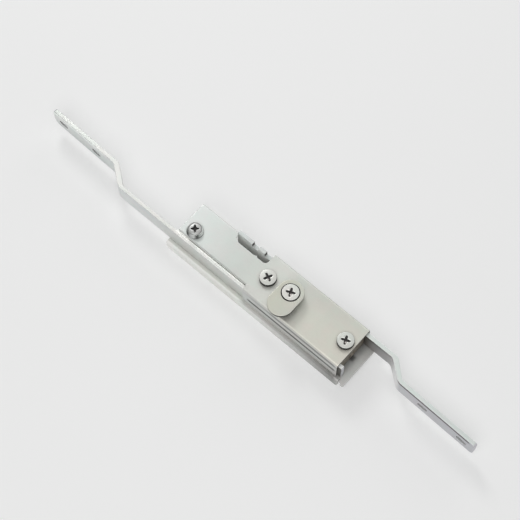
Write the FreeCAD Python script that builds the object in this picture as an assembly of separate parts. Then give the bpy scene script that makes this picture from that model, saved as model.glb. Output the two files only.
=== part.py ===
"""Multipoint door lock: a bent case with a turning lever that drives two flat rods in opposite directions.

The long axis is X, the front of the case is -Y and Z points up. The lock lies on the rims of its base plate
at Z = 0 and the middle of its overall length is at X = 0. All lengths are in millimetres and the model stands
at rest with both rods drawn in.
"""

import FreeCAD
import Part
import math
import os

V = FreeCAD.Vector

# Clearances
RUN_GAP = 0.2            # flat face sliding on a flat face
ROD_FLOOR_GAP = 0.3      # rods above the base plate and pinion above the notch floors
BEARING_GAP = 0.05       # radial play of a shaft in its bush
SEAT_GAP = 0.2           # cover walls above the base plate
SCREW_GAP = 0.05         # radial play of a screw in its tapped hole
HOLE_GAP = 0.3           # radial play of a screw in a clearance hole
WASHER_GAP = 0.05        # play under a loose washer
SHAFT_GAP = 0.3          # free height between turning and fixed pieces
BLOCK_GAP = 0.6          # tooth tips to the left guide block
OVERCUT = 1.0            # cutters run this far past the faces they open
TINY = 1e-6              # two lengths closer than this are the same

# Base plate: a channel with its rims turned down
BASE_LEFT = -65.7
BASE_RIGHT = 97.5
BASE_WIDTH = 40.2
BASE_T = 2.0
RIM_HEIGHT = 8.4
RIM_BEND = 2.6           # outer radius of the rim bends
RIM_STOP = 5.2           # rims end this far before the right end of the plate
RELIEF_LENGTH = 2.6      # notch between the end of a rim and the plate
RELIEF_DEPTH = 1.4
BASE_CORNER = 1.2
RIM_CORNER = 3.0

BASE_TOP = RIM_HEIGHT
BASE_UNDER = BASE_TOP - BASE_T

# Cover: one sheet with a wide part, two walls and a narrow tongue
COVER_TOP = 27.4
COVER_T = 1.2
COVER_LEFT = 4.6
COVER_RIGHT = 89.1
COVER_WIDTH = 35.0
COVER_BEND = 2.2
TONGUE_LEFT = -58.5
TONGUE_WIDTH = 24.7
TONGUE_CORNER = 1.4
WALL_CORNER = 3.2
BEAD_DROP = 11.0         # middle of the pressed groove below the top of the cover
BEAD_WIDTH = 1.4
BEAD_DEPTH = 0.35
BEAD_STOP = 13.0         # the groove ends this far before the right end of the wall

COVER_UNDER = COVER_TOP - COVER_T
WALL_FACE = COVER_WIDTH / 2
WALL_INSIDE = WALL_FACE - COVER_T

# Cut-out in the back edge of the tongue, two overlapping lobes
CUT_LEFT = -24.5
CUT_CUSP = -4.7
CUT_RIGHT = COVER_LEFT
CUT_BOTTOM = 7.0
CUT_RADIUS = 3.2
CUSP_OVERLAP = 0.9       # each lobe runs on past the cusp by this much
CUT_SLOPE = 1.6          # the left end of the cut-out leans out by this much
CUT_SLOPE_FOOT = 4.0

# Rods: flat bars standing on edge
ROD_T = 3.0
ROD_HEIGHT = 15.9
ROD_Y = WALL_INSIDE - RUN_GAP - ROD_T / 2
ROD_BOTTOM = BASE_TOP + ROD_FLOOR_GAP
ROD_TOP = ROD_BOTTOM + ROD_HEIGHT
ROD_BEND = 7.0           # middle radius of the joggle bends
TIP_CORNER = 2.4
INNER_CORNER = 0.6
SLOT_LENGTH = 8.2
SLOT_WIDTH = 4.2
SLOT_HEIGHT = 6.8        # middle of the slots above the bottom edge of the rod
OVERALL = 383.8
LEFT_INNER_END = 92.2
LEFT_OUTER_RUN = 60.9    # from the left tip to the outer kink
LEFT_JOGGLE_RUN = 18.6   # length of the slanted part
LEFT_SLOT_INSETS = (9.7, 43.3)
LEFT_JOGGLE = 11.7
LEFT_TIP_CUT = 5.5       # long sloping cut at the lower corner of the left tip
RIGHT_INNER_END = -27.1
RIGHT_OUTER_RUN = 65.7
RIGHT_JOGGLE_RUN = 13.6
RIGHT_SLOT_INSETS = (10.5, 44.1)
RIGHT_JOGGLE = 10.8
OUTER_TURN = 1.5         # degrees by which both outer ends turn on past parallel

LEFT_TIP = -OVERALL / 2
LEFT_KINK_OUT = LEFT_TIP + LEFT_OUTER_RUN
LEFT_KINK_IN = LEFT_KINK_OUT + LEFT_JOGGLE_RUN
LEFT_SLOTS = [LEFT_TIP + inset for inset in LEFT_SLOT_INSETS]
RIGHT_TIP = OVERALL / 2
RIGHT_KINK_OUT = RIGHT_TIP - RIGHT_OUTER_RUN
RIGHT_KINK_IN = RIGHT_KINK_OUT - RIGHT_JOGGLE_RUN
RIGHT_SLOTS = [RIGHT_TIP - inset for inset in RIGHT_SLOT_INSETS]

# Rack and pinion
AXIS_X = 32.9
TEETH = 8
PITCH_RADIUS = ROD_Y
PITCH = 2 * math.pi * PITCH_RADIUS / TEETH
STROKE_PITCHES = 4       # half a turn of the pinion
MESH_TURN = 9.0          # degrees from straight back to the nearest tooth, at rest
NOTCH_WIDTH = 5.5
NOTCH_DEPTH = 3.6
NOTCH_RADIUS = 0.5
TOOTH_WIDTH = 3.6
TIP_INSET = 0.7          # tooth tips end this far inside the outer face of a rod
ROOT_INSET = 0.8         # the root disc stays this far off the inner face of a rod
PINION_T = 3.0

MESH_SHIFT = PITCH_RADIUS * math.radians(MESH_TURN)
PINION_TIP = ROD_Y + ROD_T / 2 - TIP_INSET
PINION_ROOT = ROD_Y - ROD_T / 2 - ROOT_INSET
NOTCH_FLOOR = ROD_TOP - NOTCH_DEPTH
PINION_BOTTOM = NOTCH_FLOOR + ROD_FLOOR_GAP
PINION_TOP = PINION_BOTTOM + PINION_T

# Drive shaft and its bearings
JOURNAL_R = 7.0
HUB_R = 9.0
HUB_BOTTOM = 11.0
PINION_SQUARE = 10.0
UPPER_R = 5.0
LEVER_SQUARE = 7.0
SHAFT_BOTTOM = 2.2
SOCKET_SQUARE = 8.0
SOCKET_DEPTH = 15.0
SOCKET_LEAD = 0.6
GROOVE_R = 6.0
RING_T = 1.0
RING_R = 9.4
RING_OPENING = 7.0
LOWER_BUSH_R = 9.0
LOWER_BUSH_BOTTOM = 4.4
LOWER_FLANGE_R = 11.2
LOWER_FLANGE_TOP = 10.4
WASHER_R = 10.6
UPPER_BUSH_R = 7.5
UPPER_FLANGE_R = 9.6
UPPER_FLANGE_T = 1.4
UPPER_BUSH_TOP = 28.2

# Lever
LEVER_R = 9.5
LEVER_REACH = 10.0       # distance between the two end circles
LEVER_T = 3.2
LEVER_TOP = 36.1
LEVER_EDGE = 0.5
LEVER_RECESS_R = 7.1
LEVER_RECESS_DEPTH = 2.0
LEVER_HUB_R = 8.0
LEVER_BOTTOM = LEVER_TOP - LEVER_T
LEVER_FLOOR = LEVER_TOP - LEVER_RECESS_DEPTH
SHAFT_SHOULDER = UPPER_BUSH_TOP + SHAFT_GAP
SHAFT_END = LEVER_FLOOR - RUN_GAP

# Guide blocks and the post under the tongue
BLOCK_HALF = ROD_Y - ROD_T / 2 - RUN_GAP
BLOCK_INSET = 0.8        # blocks stand this far inside the ends of the wide part
RIGHT_BLOCK_LENGTH = 14.0
LEFT_BLOCK = (COVER_LEFT + BLOCK_INSET, AXIS_X - PINION_TIP - BLOCK_GAP)
RIGHT_BLOCK = (COVER_RIGHT - BLOCK_INSET - RIGHT_BLOCK_LENGTH, COVER_RIGHT - BLOCK_INSET)
BLOCK_EDGE = 0.5
POST_X = -49.0
POST_Y = -6.4
POST_R = 5.0
POST_TAIL_R = 3.0
POST_PEEN_R = 4.6
RIVET_Y = 7.6
RIVET_R = 2.0
RIVET_HEAD_R = 3.6
RIVET_HEAD_T = 1.5
RIVET_ROUND = 0.9        # edge radius of a rivet head
RIVET_LENGTH = 7.0

# Screws
COVER_SCREW_X = {"left": 12.6, "right": 81.8}
SCREW_R = 3.0
PAN_R = 6.0
PAN_HEIGHT = 2.6
PAN_EDGE = 1.0
SCREW_LENGTH = 14.0
DOME_R = 5.6
DOME_HEIGHT = 4.5
DOME_RISE = 1.8
FLAT_R = 6.0
LEVER_SCREW_R = 2.0
LEVER_SCREW_LENGTH = 11.0
CROSS_SPAN = 7.0
CROSS_WIDTH = 1.8
CROSS_DEPTH = 1.9
CROSS_CORE = 0.8         # radius of the sunk centre over the width of an arm
CROSS_ANGLES = {"left": 65.0, "right": 24.0, "lever": 25.0, "tongue": 41.5}

BACK = V(0, 1, 0)
UP = V(0, 0, 1)


def box(x0, x1, y0, y1, z0, z1):
    """A box between two corners."""
    return Part.makeBox(x1 - x0, y1 - y0, z1 - z0, V(x0, y0, z0))


def disc(radius, z0, z1, x=AXIS_X, y=0.0):
    """An upright cylinder, on the lever axis unless told otherwise."""
    return Part.makeCylinder(radius, z1 - z0, V(x, y, z0), UP)


def square_bar(side, z0, z1, x=AXIS_X, y=0.0):
    """An upright square bar."""
    half = side / 2
    return box(x - half, x + half, y - half, y + half, z0, z1)


def fillet(shape, radius, chosen):
    """Round the edges for which chosen(edge) is true."""
    edges = [edge for edge in shape.Edges if chosen(edge)]
    return shape.makeFillet(radius, edges)


def runs_along(edge, axis):
    """True for a straight edge along the axis."""
    if not isinstance(edge.Curve, Part.Line):
        return False
    return edge.Curve.Direction.cross(axis).Length < TINY


def middle(edge):
    """Centre of an edge's bounding box."""
    return edge.BoundBox.Center


def prism(points, height_from, height_to):
    """Upright prism over a list of (x, y) corners."""
    corners = [V(x, y, height_from) for x, y in points]
    face = Part.Face(Part.makePolygon(corners + corners[:1]))
    return face.extrude(V(0, 0, height_to - height_from))


def lengthwise(points, x0, x1):
    """Prism along X over a list of (y, z) corners."""
    corners = [V(x0, y, z) for y, z in points]
    face = Part.Face(Part.makePolygon(corners + corners[:1]))
    return face.extrude(V(x1 - x0, 0, 0))


def slot_across(x, z, length, width, y0, y1):
    """Obround cutter that runs along Y."""
    half = (length - width) / 2
    body = box(x - half, x + half, y0, y1, z - width / 2, z + width / 2)
    for centre in (x - half, x + half):
        end = Part.makeCylinder(width / 2, y1 - y0, V(centre, y0, z), BACK)
        body = body.fuse(end)
    return body.removeSplitter()


def corner_cut(x, z, inward, upward, radius, y0, y1):
    """Cutter that rounds an outer corner at (x, z) of a plate that faces Y."""
    x_in = x + inward * radius
    z_in = z + upward * radius
    block = box(min(x, x_in), max(x, x_in), y0, y1, min(z, z_in), max(z, z_in))
    return block.cut(Part.makeCylinder(radius, y1 - y0, V(x_in, y0, z_in), BACK))


def cross_recess(x, y, top, angle):
    """Cross-shaped driver recess with rounded arm ends and a sunk centre."""
    half = (CROSS_SPAN - CROSS_WIDTH) / 2
    bottom = top - CROSS_DEPTH
    cutter = disc(CROSS_WIDTH * CROSS_CORE, bottom, top + OVERCUT, x, y)
    for turn in (angle, angle + 90):
        arm = box(x - half, x + half, y - CROSS_WIDTH / 2, y + CROSS_WIDTH / 2, bottom, top + OVERCUT)
        for side in (-half, half):
            arm = arm.fuse(disc(CROSS_WIDTH / 2, bottom, top + OVERCUT, x + side, y))
        arm.rotate(V(x, y, 0), UP, turn)
        cutter = cutter.fuse(arm)
    return cutter.removeSplitter()


def make_base():
    """Channel-shaped base plate with bend reliefs and the holes for the pieces fixed in it."""
    half = BASE_WIDTH / 2
    outline = [(-half, 0), (-half, BASE_TOP), (half, BASE_TOP), (half, 0)]
    inner = half - BASE_T
    outline += [(inner, 0), (inner, BASE_UNDER), (-inner, BASE_UNDER), (-inner, 0)]
    rim_end = BASE_RIGHT - RIM_STOP
    channel = lengthwise(outline, BASE_LEFT, rim_end)

    def outer_bend(edge):
        centre = middle(edge)
        return runs_along(edge, V(1, 0, 0)) and abs(abs(centre.y) - half) < TINY and centre.z > BASE_UNDER

    def inner_bend(edge):
        centre = middle(edge)
        return (runs_along(edge, V(1, 0, 0)) and abs(abs(centre.y) - half + BASE_T) < TINY
                and abs(centre.z - BASE_UNDER) < TINY)

    channel = fillet(channel, RIM_BEND, outer_bend)
    channel = fillet(channel, RIM_BEND - BASE_T, inner_bend)
    for side in (-1, 1):
        y0, y1 = sorted((side * (half + OVERCUT), side * (half - BASE_T - OVERCUT)))
        channel = channel.cut(corner_cut(BASE_LEFT, 0, 1, 1, RIM_CORNER, y0, y1))
        channel = channel.cut(corner_cut(rim_end, 0, -1, 1, RIM_CORNER / 2, y0, y1))
    neck = half - RELIEF_DEPTH
    flat_end = box(rim_end + RELIEF_LENGTH, BASE_RIGHT, -half, half, BASE_UNDER, BASE_TOP)
    flat_end = fillet(flat_end, BASE_CORNER, lambda e: runs_along(e, UP) and middle(e).x > BASE_RIGHT - TINY)
    channel = channel.fuse(flat_end)
    channel = channel.fuse(box(rim_end, rim_end + RELIEF_LENGTH, -neck, neck, BASE_UNDER, BASE_TOP))
    channel = channel.removeSplitter()
    channel = channel.cut(disc(LOWER_BUSH_R, 0, BASE_TOP + OVERCUT))
    channel = channel.cut(disc(POST_TAIL_R, 0, BASE_TOP + OVERCUT, POST_X, POST_Y))
    for x, y in rivet_places(LEFT_BLOCK) + rivet_places(RIGHT_BLOCK):
        channel = channel.cut(disc(RIVET_R, 0, BASE_TOP + OVERCUT, x, y))
    return channel


def tongue_cutter():
    """Two-lobed cutter for the back edge of the tongue."""
    above = TONGUE_WIDTH / 2 + OVERCUT
    lobes = []
    for x0, x1 in ((CUT_LEFT, CUT_CUSP + CUSP_OVERLAP), (CUT_CUSP - CUSP_OVERLAP, CUT_RIGHT)):
        lobe = box(x0, x1, CUT_BOTTOM, above, COVER_UNDER - OVERCUT, COVER_TOP + OVERCUT)
        lobe = fillet(lobe, CUT_RADIUS, lambda e: runs_along(e, UP) and middle(e).y < CUT_BOTTOM + TINY)
        lobes.append(lobe)
    corners = [(CUT_LEFT - CUT_SLOPE, above), (CUT_LEFT, CUT_BOTTOM + CUT_RADIUS)]
    corners.append((CUT_LEFT + CUT_SLOPE_FOOT, above))
    slope = prism(corners, COVER_UNDER - OVERCUT, COVER_TOP + OVERCUT)
    return lobes[0].fuse(lobes[1]).fuse(slope)


def make_cover():
    """Bent cover sheet: walls, tongue, cut-out, screw holes and the bearing hole."""
    outline = [(-WALL_FACE, BASE_TOP + SEAT_GAP), (-WALL_FACE, COVER_TOP), (WALL_FACE, COVER_TOP)]
    outline += [(WALL_FACE, BASE_TOP + SEAT_GAP), (WALL_INSIDE, BASE_TOP + SEAT_GAP)]
    outline += [(WALL_INSIDE, COVER_UNDER), (-WALL_INSIDE, COVER_UNDER), (-WALL_INSIDE, BASE_TOP + SEAT_GAP)]
    sheet = lengthwise(outline, COVER_LEFT, COVER_RIGHT)

    def outer_bend(edge):
        return runs_along(edge, V(1, 0, 0)) and abs(abs(middle(edge).y) - WALL_FACE) < TINY \
            and middle(edge).z > COVER_UNDER

    def inner_bend(edge):
        return runs_along(edge, V(1, 0, 0)) and abs(abs(middle(edge).y) - WALL_INSIDE) < TINY \
            and abs(middle(edge).z - COVER_UNDER) < TINY

    sheet = fillet(sheet, COVER_BEND, outer_bend)
    sheet = fillet(sheet, COVER_BEND - COVER_T, inner_bend)
    for side in (-1, 1):
        y0, y1 = sorted((side * (WALL_FACE + OVERCUT), side * (WALL_INSIDE - OVERCUT)))
        bottom = BASE_TOP + SEAT_GAP
        sheet = sheet.cut(corner_cut(COVER_LEFT, bottom, 1, 1, WALL_CORNER, y0, y1))
        y0, y1 = sorted((side * (WALL_FACE + OVERCUT), side * (WALL_FACE - BEAD_DEPTH)))
        bead_z = COVER_TOP - BEAD_DROP
        bead = box(COVER_LEFT + WALL_CORNER, COVER_RIGHT - BEAD_STOP, y0, y1,
                   bead_z - BEAD_WIDTH / 2, bead_z + BEAD_WIDTH / 2)
        sheet = sheet.cut(bead)
    half = TONGUE_WIDTH / 2
    tongue = box(TONGUE_LEFT, COVER_LEFT, -half, half, COVER_UNDER, COVER_TOP)
    tongue = fillet(tongue, TONGUE_CORNER, lambda e: runs_along(e, UP) and middle(e).x < TONGUE_LEFT + TINY)
    tongue = tongue.cut(tongue_cutter())
    sheet = sheet.fuse(tongue).removeSplitter()
    sheet = sheet.cut(disc(UPPER_BUSH_R, COVER_UNDER - OVERCUT, COVER_TOP + OVERCUT))
    for x in COVER_SCREW_X.values():
        sheet = sheet.cut(disc(SCREW_R + HOLE_GAP, COVER_UNDER - OVERCUT, COVER_TOP + OVERCUT, x))
    return sheet.cut(disc(SCREW_R + HOLE_GAP, COVER_UNDER - OVERCUT, COVER_TOP + OVERCUT, POST_X, POST_Y))


def bent_bar(path):
    """Flat bar on edge whose centre line follows the (x, y) path with round bends."""
    sides = {-1: [], 1: []}
    arcs = []
    for before, here, after in zip(path, path[1:], path[2:]):
        into = V(here[0] - before[0], here[1] - before[1], 0).normalize()
        out = V(after[0] - here[0], after[1] - here[1], 0).normalize()
        turn = math.atan2(into.cross(out).z, into.dot(out))
        reach = ROD_BEND * math.tan(abs(turn) / 2)
        corner = V(here[0], here[1], ROD_BOTTOM)
        hand = 1 if turn > 0 else -1
        centre = corner - into * reach + V(-into.y, into.x, 0) * (hand * ROD_BEND)
        arcs.append((into, out, hand, centre))
    for side in (-1, 1):
        start = V(path[0][0], path[0][1], ROD_BOTTOM)
        first = arcs[0][0]
        last = start + V(-first.y, first.x, 0) * (side * ROD_T / 2)
        for into, out, hand, centre in arcs:
            radius = ROD_BEND - hand * side * ROD_T / 2
            a = centre + V(into.y, -into.x, 0) * (hand * radius)
            b = centre + V(out.y, -out.x, 0) * (hand * radius)
            bisector = V(into.y + out.y, -into.x - out.x, 0).normalize()
            m = centre + bisector * (hand * radius)
            sides[side].append(Part.makeLine(last, a))
            sides[side].append(Part.Arc(a, m, b).toShape())
            last = b
        end = V(path[-1][0], path[-1][1], ROD_BOTTOM)
        out = arcs[-1][1]
        final = end + V(-out.y, out.x, 0) * (side * ROD_T / 2)
        sides[side].append(Part.makeLine(last, final))
    ends = []
    for index in (0, -1):
        a = sides[-1][index].Vertexes[index].Point
        b = sides[1][index].Vertexes[index].Point
        ends.append(Part.makeLine(a, b))
    wire = Part.Wire(Part.__sortEdges__(sides[-1] + sides[1] + ends))
    return Part.Face(wire).extrude(V(0, 0, ROD_HEIGHT))


def cut_notches(bar, y_side, steps):
    """Open the rack notches in the top edge, at whole pitches from the tooth in mesh."""
    y0, y1 = sorted((y_side * (ROD_Y - ROD_T), y_side * (ROD_Y + ROD_T)))
    for step in steps:
        x = AXIS_X + y_side * MESH_SHIFT + step * PITCH
        notch = box(x - NOTCH_WIDTH / 2, x + NOTCH_WIDTH / 2, y0, y1, NOTCH_FLOOR, ROD_TOP + OVERCUT)
        notch = fillet(notch, NOTCH_RADIUS, lambda e: runs_along(e, BACK) and middle(e).z < ROD_TOP)
        bar = bar.cut(notch)
    return bar


def turned_y(kink_y, run):
    """Centre line of a turned outer end, the given distance past its outer kink."""
    return kink_y + run * math.tan(math.radians(OUTER_TURN))


def shape_outer_end(bar, tip_x, inward, y, slots, lower_corner):
    """Trim an outer end square to X, cut its slots and round its two corners."""
    y0 = y - 2 * ROD_T
    y1 = y + 2 * ROD_T
    x0, x1 = sorted((tip_x, tip_x - inward * 2 * OVERCUT))
    bar = bar.cut(box(x0, x1, y0, y1, ROD_BOTTOM - OVERCUT, ROD_TOP + OVERCUT))
    for x in slots:
        bar = bar.cut(slot_across(x, ROD_BOTTOM + SLOT_HEIGHT, SLOT_LENGTH, SLOT_WIDTH, y0, y1))
    bar = bar.cut(corner_cut(tip_x, ROD_TOP, inward, -1, TIP_CORNER, y0, y1))
    return bar.cut(corner_cut(tip_x, ROD_BOTTOM, inward, 1, lower_corner, y0, y1))


def shape_inner_end(bar, end_x, inward, y):
    """Round the two corners of an inner end."""
    for z, upward in ((ROD_TOP, -1), (ROD_BOTTOM, 1)):
        bar = bar.cut(corner_cut(end_x, z, inward, upward, INNER_CORNER, y - ROD_T, y + ROD_T))
    return bar


def make_left_rod():
    """Front rod: reaches out to the left and carries its rack to the right of the lever axis."""
    kink_y = -ROD_Y + LEFT_JOGGLE
    start = LEFT_TIP - OVERCUT
    path = [(start, turned_y(kink_y, LEFT_KINK_OUT - start)), (LEFT_KINK_OUT, kink_y)]
    path += [(LEFT_KINK_IN, -ROD_Y), (LEFT_INNER_END, -ROD_Y)]
    tip_y = turned_y(kink_y, LEFT_KINK_OUT - LEFT_TIP)
    bar = shape_outer_end(bent_bar(path), LEFT_TIP, 1, tip_y, LEFT_SLOTS, LEFT_TIP_CUT)
    bar = shape_inner_end(bar, LEFT_INNER_END, -1, -ROD_Y)
    return cut_notches(bar, -1, range(-1, STROKE_PITCHES + 1))


def make_right_rod():
    """Back rod: reaches out to the right and carries its rack to the left of the lever axis."""
    kink_y = ROD_Y - RIGHT_JOGGLE
    end = RIGHT_TIP + OVERCUT
    path = [(RIGHT_INNER_END, ROD_Y), (RIGHT_KINK_IN, ROD_Y)]
    path += [(RIGHT_KINK_OUT, kink_y), (end, turned_y(kink_y, RIGHT_KINK_OUT - end))]
    tip_y = turned_y(kink_y, RIGHT_KINK_OUT - RIGHT_TIP)
    bar = shape_outer_end(bent_bar(path), RIGHT_TIP, -1, tip_y, RIGHT_SLOTS, TIP_CORNER)
    bar = shape_inner_end(bar, RIGHT_INNER_END, 1, ROD_Y)
    return cut_notches(bar, 1, range(-STROKE_PITCHES, 2))


def make_pinion():
    """Flat pinion: root disc and teeth with fully rounded tips, in mesh with both rods at rest."""
    wheel = disc(PINION_ROOT, PINION_BOTTOM, PINION_TOP)
    half = TOOTH_WIDTH / 2
    crown = PINION_TIP - half
    for index in range(TEETH):
        tooth = box(AXIS_X - half, AXIS_X + half, 0, crown, PINION_BOTTOM, PINION_TOP)
        tooth = tooth.fuse(disc(half, PINION_BOTTOM, PINION_TOP, AXIS_X, crown))
        tooth.rotate(V(AXIS_X, 0, 0), UP, index * 360 / TEETH - MESH_TURN)
        wheel = wheel.fuse(tooth)
    wheel = wheel.removeSplitter()
    return wheel.cut(square_bar(PINION_SQUARE, PINION_BOTTOM - OVERCUT, PINION_TOP + OVERCUT))


def make_shaft():
    """Drive shaft: journal with a ring groove, hub, two squares, upper journal, socket and tapped end."""
    shaft = disc(JOURNAL_R, SHAFT_BOTTOM, HUB_BOTTOM)
    shaft = shaft.fuse(disc(HUB_R, HUB_BOTTOM, PINION_BOTTOM))
    shaft = shaft.fuse(square_bar(PINION_SQUARE, PINION_BOTTOM, PINION_TOP))
    shaft = shaft.fuse(disc(UPPER_R, PINION_TOP, SHAFT_SHOULDER))
    shaft = shaft.fuse(square_bar(LEVER_SQUARE, SHAFT_SHOULDER, SHAFT_END))
    ring_top = LOWER_BUSH_BOTTOM - SHAFT_GAP
    groove = disc(JOURNAL_R + OVERCUT, ring_top - RING_T, ring_top)
    groove = groove.cut(disc(GROOVE_R, ring_top - RING_T, ring_top))
    shaft = shaft.cut(groove)
    shaft = shaft.cut(square_bar(SOCKET_SQUARE, SHAFT_BOTTOM - OVERCUT, SHAFT_BOTTOM + SOCKET_DEPTH))
    hole = LEVER_SCREW_R + SCREW_GAP
    shaft = shaft.cut(disc(hole, SHAFT_END - LEVER_SCREW_LENGTH - OVERCUT, SHAFT_END + OVERCUT))

    def socket_mouth(edge):
        centre = middle(edge)
        return (abs(centre.z - SHAFT_BOTTOM) < TINY and isinstance(edge.Curve, Part.Line))

    return shaft.makeChamfer(SOCKET_LEAD, [e for e in shaft.Edges if socket_mouth(e)])


def make_ring():
    """Open retaining ring in the groove of the shaft."""
    top = LOWER_BUSH_BOTTOM - SHAFT_GAP
    ring = disc(RING_R, top - RING_T, top).cut(disc(GROOVE_R, top - RING_T, top))
    gap = box(AXIS_X - RING_OPENING / 2, AXIS_X + RING_OPENING / 2, 0, RING_R + OVERCUT, top - RING_T, top)
    return ring.cut(gap)


def make_lower_bush():
    """Flanged bearing pressed in the base plate."""
    bush = disc(LOWER_BUSH_R, LOWER_BUSH_BOTTOM, BASE_TOP)
    bush = bush.fuse(disc(LOWER_FLANGE_R, BASE_TOP, LOWER_FLANGE_TOP))
    return bush.cut(disc(JOURNAL_R + BEARING_GAP, 0, COVER_TOP))


def make_upper_bush():
    """Flanged bearing pressed in the cover from below."""
    bush = disc(UPPER_BUSH_R, COVER_UNDER, UPPER_BUSH_TOP)
    bush = bush.fuse(disc(UPPER_FLANGE_R, COVER_UNDER - UPPER_FLANGE_T, COVER_UNDER))
    return bush.cut(disc(UPPER_R + BEARING_GAP, 0, COVER_TOP * 2))


def make_washer():
    """Thrust washer between the lower bearing and the hub of the shaft."""
    low = LOWER_FLANGE_TOP
    high = HUB_BOTTOM - WASHER_GAP
    return disc(WASHER_R, low, high).cut(disc(JOURNAL_R + HOLE_GAP, low, high))


def make_lever_hub():
    """Spacer with a square hole that carries the lever above the screw heads."""
    hub = disc(LEVER_HUB_R, SHAFT_SHOULDER, LEVER_BOTTOM)
    return hub.cut(square_bar(LEVER_SQUARE, SHAFT_SHOULDER - OVERCUT, LEVER_BOTTOM + OVERCUT))


def make_lever():
    """Obround lever plate with a round recess for its screw and a square hole."""
    plate = disc(LEVER_R, LEVER_BOTTOM, LEVER_TOP)
    plate = plate.fuse(disc(LEVER_R, LEVER_BOTTOM, LEVER_TOP, AXIS_X, -LEVER_REACH))
    plate = plate.fuse(box(AXIS_X - LEVER_R, AXIS_X + LEVER_R, -LEVER_REACH, 0, LEVER_BOTTOM, LEVER_TOP))
    plate = plate.removeSplitter()
    plate = fillet(plate, LEVER_EDGE, lambda e: abs(middle(e).z - LEVER_TOP) < TINY)
    plate = plate.cut(disc(LEVER_RECESS_R, LEVER_FLOOR, LEVER_TOP + OVERCUT))
    return plate.cut(square_bar(LEVER_SQUARE, LEVER_BOTTOM - OVERCUT, LEVER_TOP))


def make_lever_screw():
    """Flat-headed screw that clamps the lever on the shaft."""
    head = disc(FLAT_R, LEVER_FLOOR, LEVER_TOP)
    head = fillet(head, LEVER_EDGE, lambda e: abs(middle(e).z - LEVER_TOP) < TINY)
    shank = disc(LEVER_SCREW_R, LEVER_FLOOR - LEVER_SCREW_LENGTH, LEVER_FLOOR)
    screw = head.fuse(shank)
    return screw.cut(cross_recess(AXIS_X, 0, LEVER_TOP, CROSS_ANGLES["lever"]))


def make_cover_screw(side):
    """Pan-head screw of the wide part, left or right of the lever."""
    x = COVER_SCREW_X[side]
    top = COVER_TOP + PAN_HEIGHT
    head = disc(PAN_R, COVER_TOP, top, x)
    head = fillet(head, PAN_EDGE, lambda e: abs(middle(e).z - top) < TINY)
    screw = head.fuse(disc(SCREW_R - SCREW_GAP, COVER_TOP - SCREW_LENGTH, COVER_TOP, x))
    return screw.cut(cross_recess(x, 0, top, CROSS_ANGLES[side]))


def make_tongue_screw():
    """Domed screw near the left end of the tongue."""
    top = COVER_TOP + DOME_HEIGHT
    shoulder = top - DOME_RISE
    sphere_r = (DOME_R ** 2 + DOME_RISE ** 2) / (2 * DOME_RISE)
    head = disc(DOME_R, COVER_TOP, top, POST_X, POST_Y)
    head = head.common(Part.makeSphere(sphere_r, V(POST_X, POST_Y, top - sphere_r))
                       .fuse(disc(DOME_R, COVER_TOP, shoulder, POST_X, POST_Y)))
    screw = head.fuse(disc(SCREW_R - SCREW_GAP, COVER_TOP - SCREW_LENGTH, COVER_TOP, POST_X, POST_Y))
    return screw.cut(cross_recess(POST_X, POST_Y, top, CROSS_ANGLES["tongue"]))


def make_block(span, screw_x):
    """Guide block between the rods, tapped for a cover screw and drilled for its rivets."""
    block = box(span[0], span[1], -BLOCK_HALF, BLOCK_HALF, BASE_TOP, COVER_UNDER)
    block = fillet(block, BLOCK_EDGE, lambda e: runs_along(e, UP))
    block = block.cut(disc(SCREW_R, COVER_TOP - SCREW_LENGTH - OVERCUT, COVER_TOP, screw_x))
    for x, y in rivet_places(span):
        block = block.cut(disc(RIVET_R, 0, BASE_UNDER + RIVET_LENGTH + SEAT_GAP, x, y))
    return block


def rivet_places(span):
    """The (x, y) places of the two rivets of a guide block."""
    x = (span[0] + span[1]) / 2
    return [(x, -RIVET_Y), (x, RIVET_Y)]


def make_rivets(span):
    """The two rivets that hold a guide block on the base plate, as one group."""
    rivets = []
    for x, y in rivet_places(span):
        head = disc(RIVET_HEAD_R, BASE_UNDER - RIVET_HEAD_T, BASE_UNDER, x, y)
        head = fillet(head, RIVET_ROUND, lambda e: abs(middle(e).z - BASE_UNDER + RIVET_HEAD_T) < TINY)
        rivets.append(head.fuse(disc(RIVET_R, BASE_UNDER, BASE_UNDER + RIVET_LENGTH, x, y)))
    return Part.makeCompound(rivets)


def make_post():
    """Post under the tongue screw, peened over below the base plate."""
    post = disc(POST_R, BASE_TOP, COVER_UNDER, POST_X, POST_Y)
    post = post.fuse(disc(POST_TAIL_R, BASE_UNDER, BASE_TOP, POST_X, POST_Y))
    post = post.fuse(disc(POST_PEEN_R, BASE_UNDER - RIVET_HEAD_T, BASE_UNDER, POST_X, POST_Y))
    return post.cut(disc(SCREW_R, COVER_TOP - SCREW_LENGTH - OVERCUT, COVER_TOP, POST_X, POST_Y))


PIECES = {
    "base_plate": make_base,
    "cover": make_cover,
    "left_guide_block": lambda: make_block(LEFT_BLOCK, COVER_SCREW_X["left"]),
    "right_guide_block": lambda: make_block(RIGHT_BLOCK, COVER_SCREW_X["right"]),
    "left_block_rivets": lambda: make_rivets(LEFT_BLOCK),
    "right_block_rivets": lambda: make_rivets(RIGHT_BLOCK),
    "tongue_post": make_post,
    "left_cover_screw": lambda: make_cover_screw("left"),
    "right_cover_screw": lambda: make_cover_screw("right"),
    "tongue_screw": make_tongue_screw,
    "lower_bush": make_lower_bush,
    "upper_bush": make_upper_bush,
    "thrust_washer": make_washer,
    "drive_shaft": make_shaft,
    "pinion": make_pinion,
    "retaining_ring": make_ring,
    "lever_hub": make_lever_hub,
    "lever_plate": make_lever,
    "lever_screw": make_lever_screw,
    "left_rod": make_left_rod,
    "right_rod": make_right_rod,
}


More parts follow.
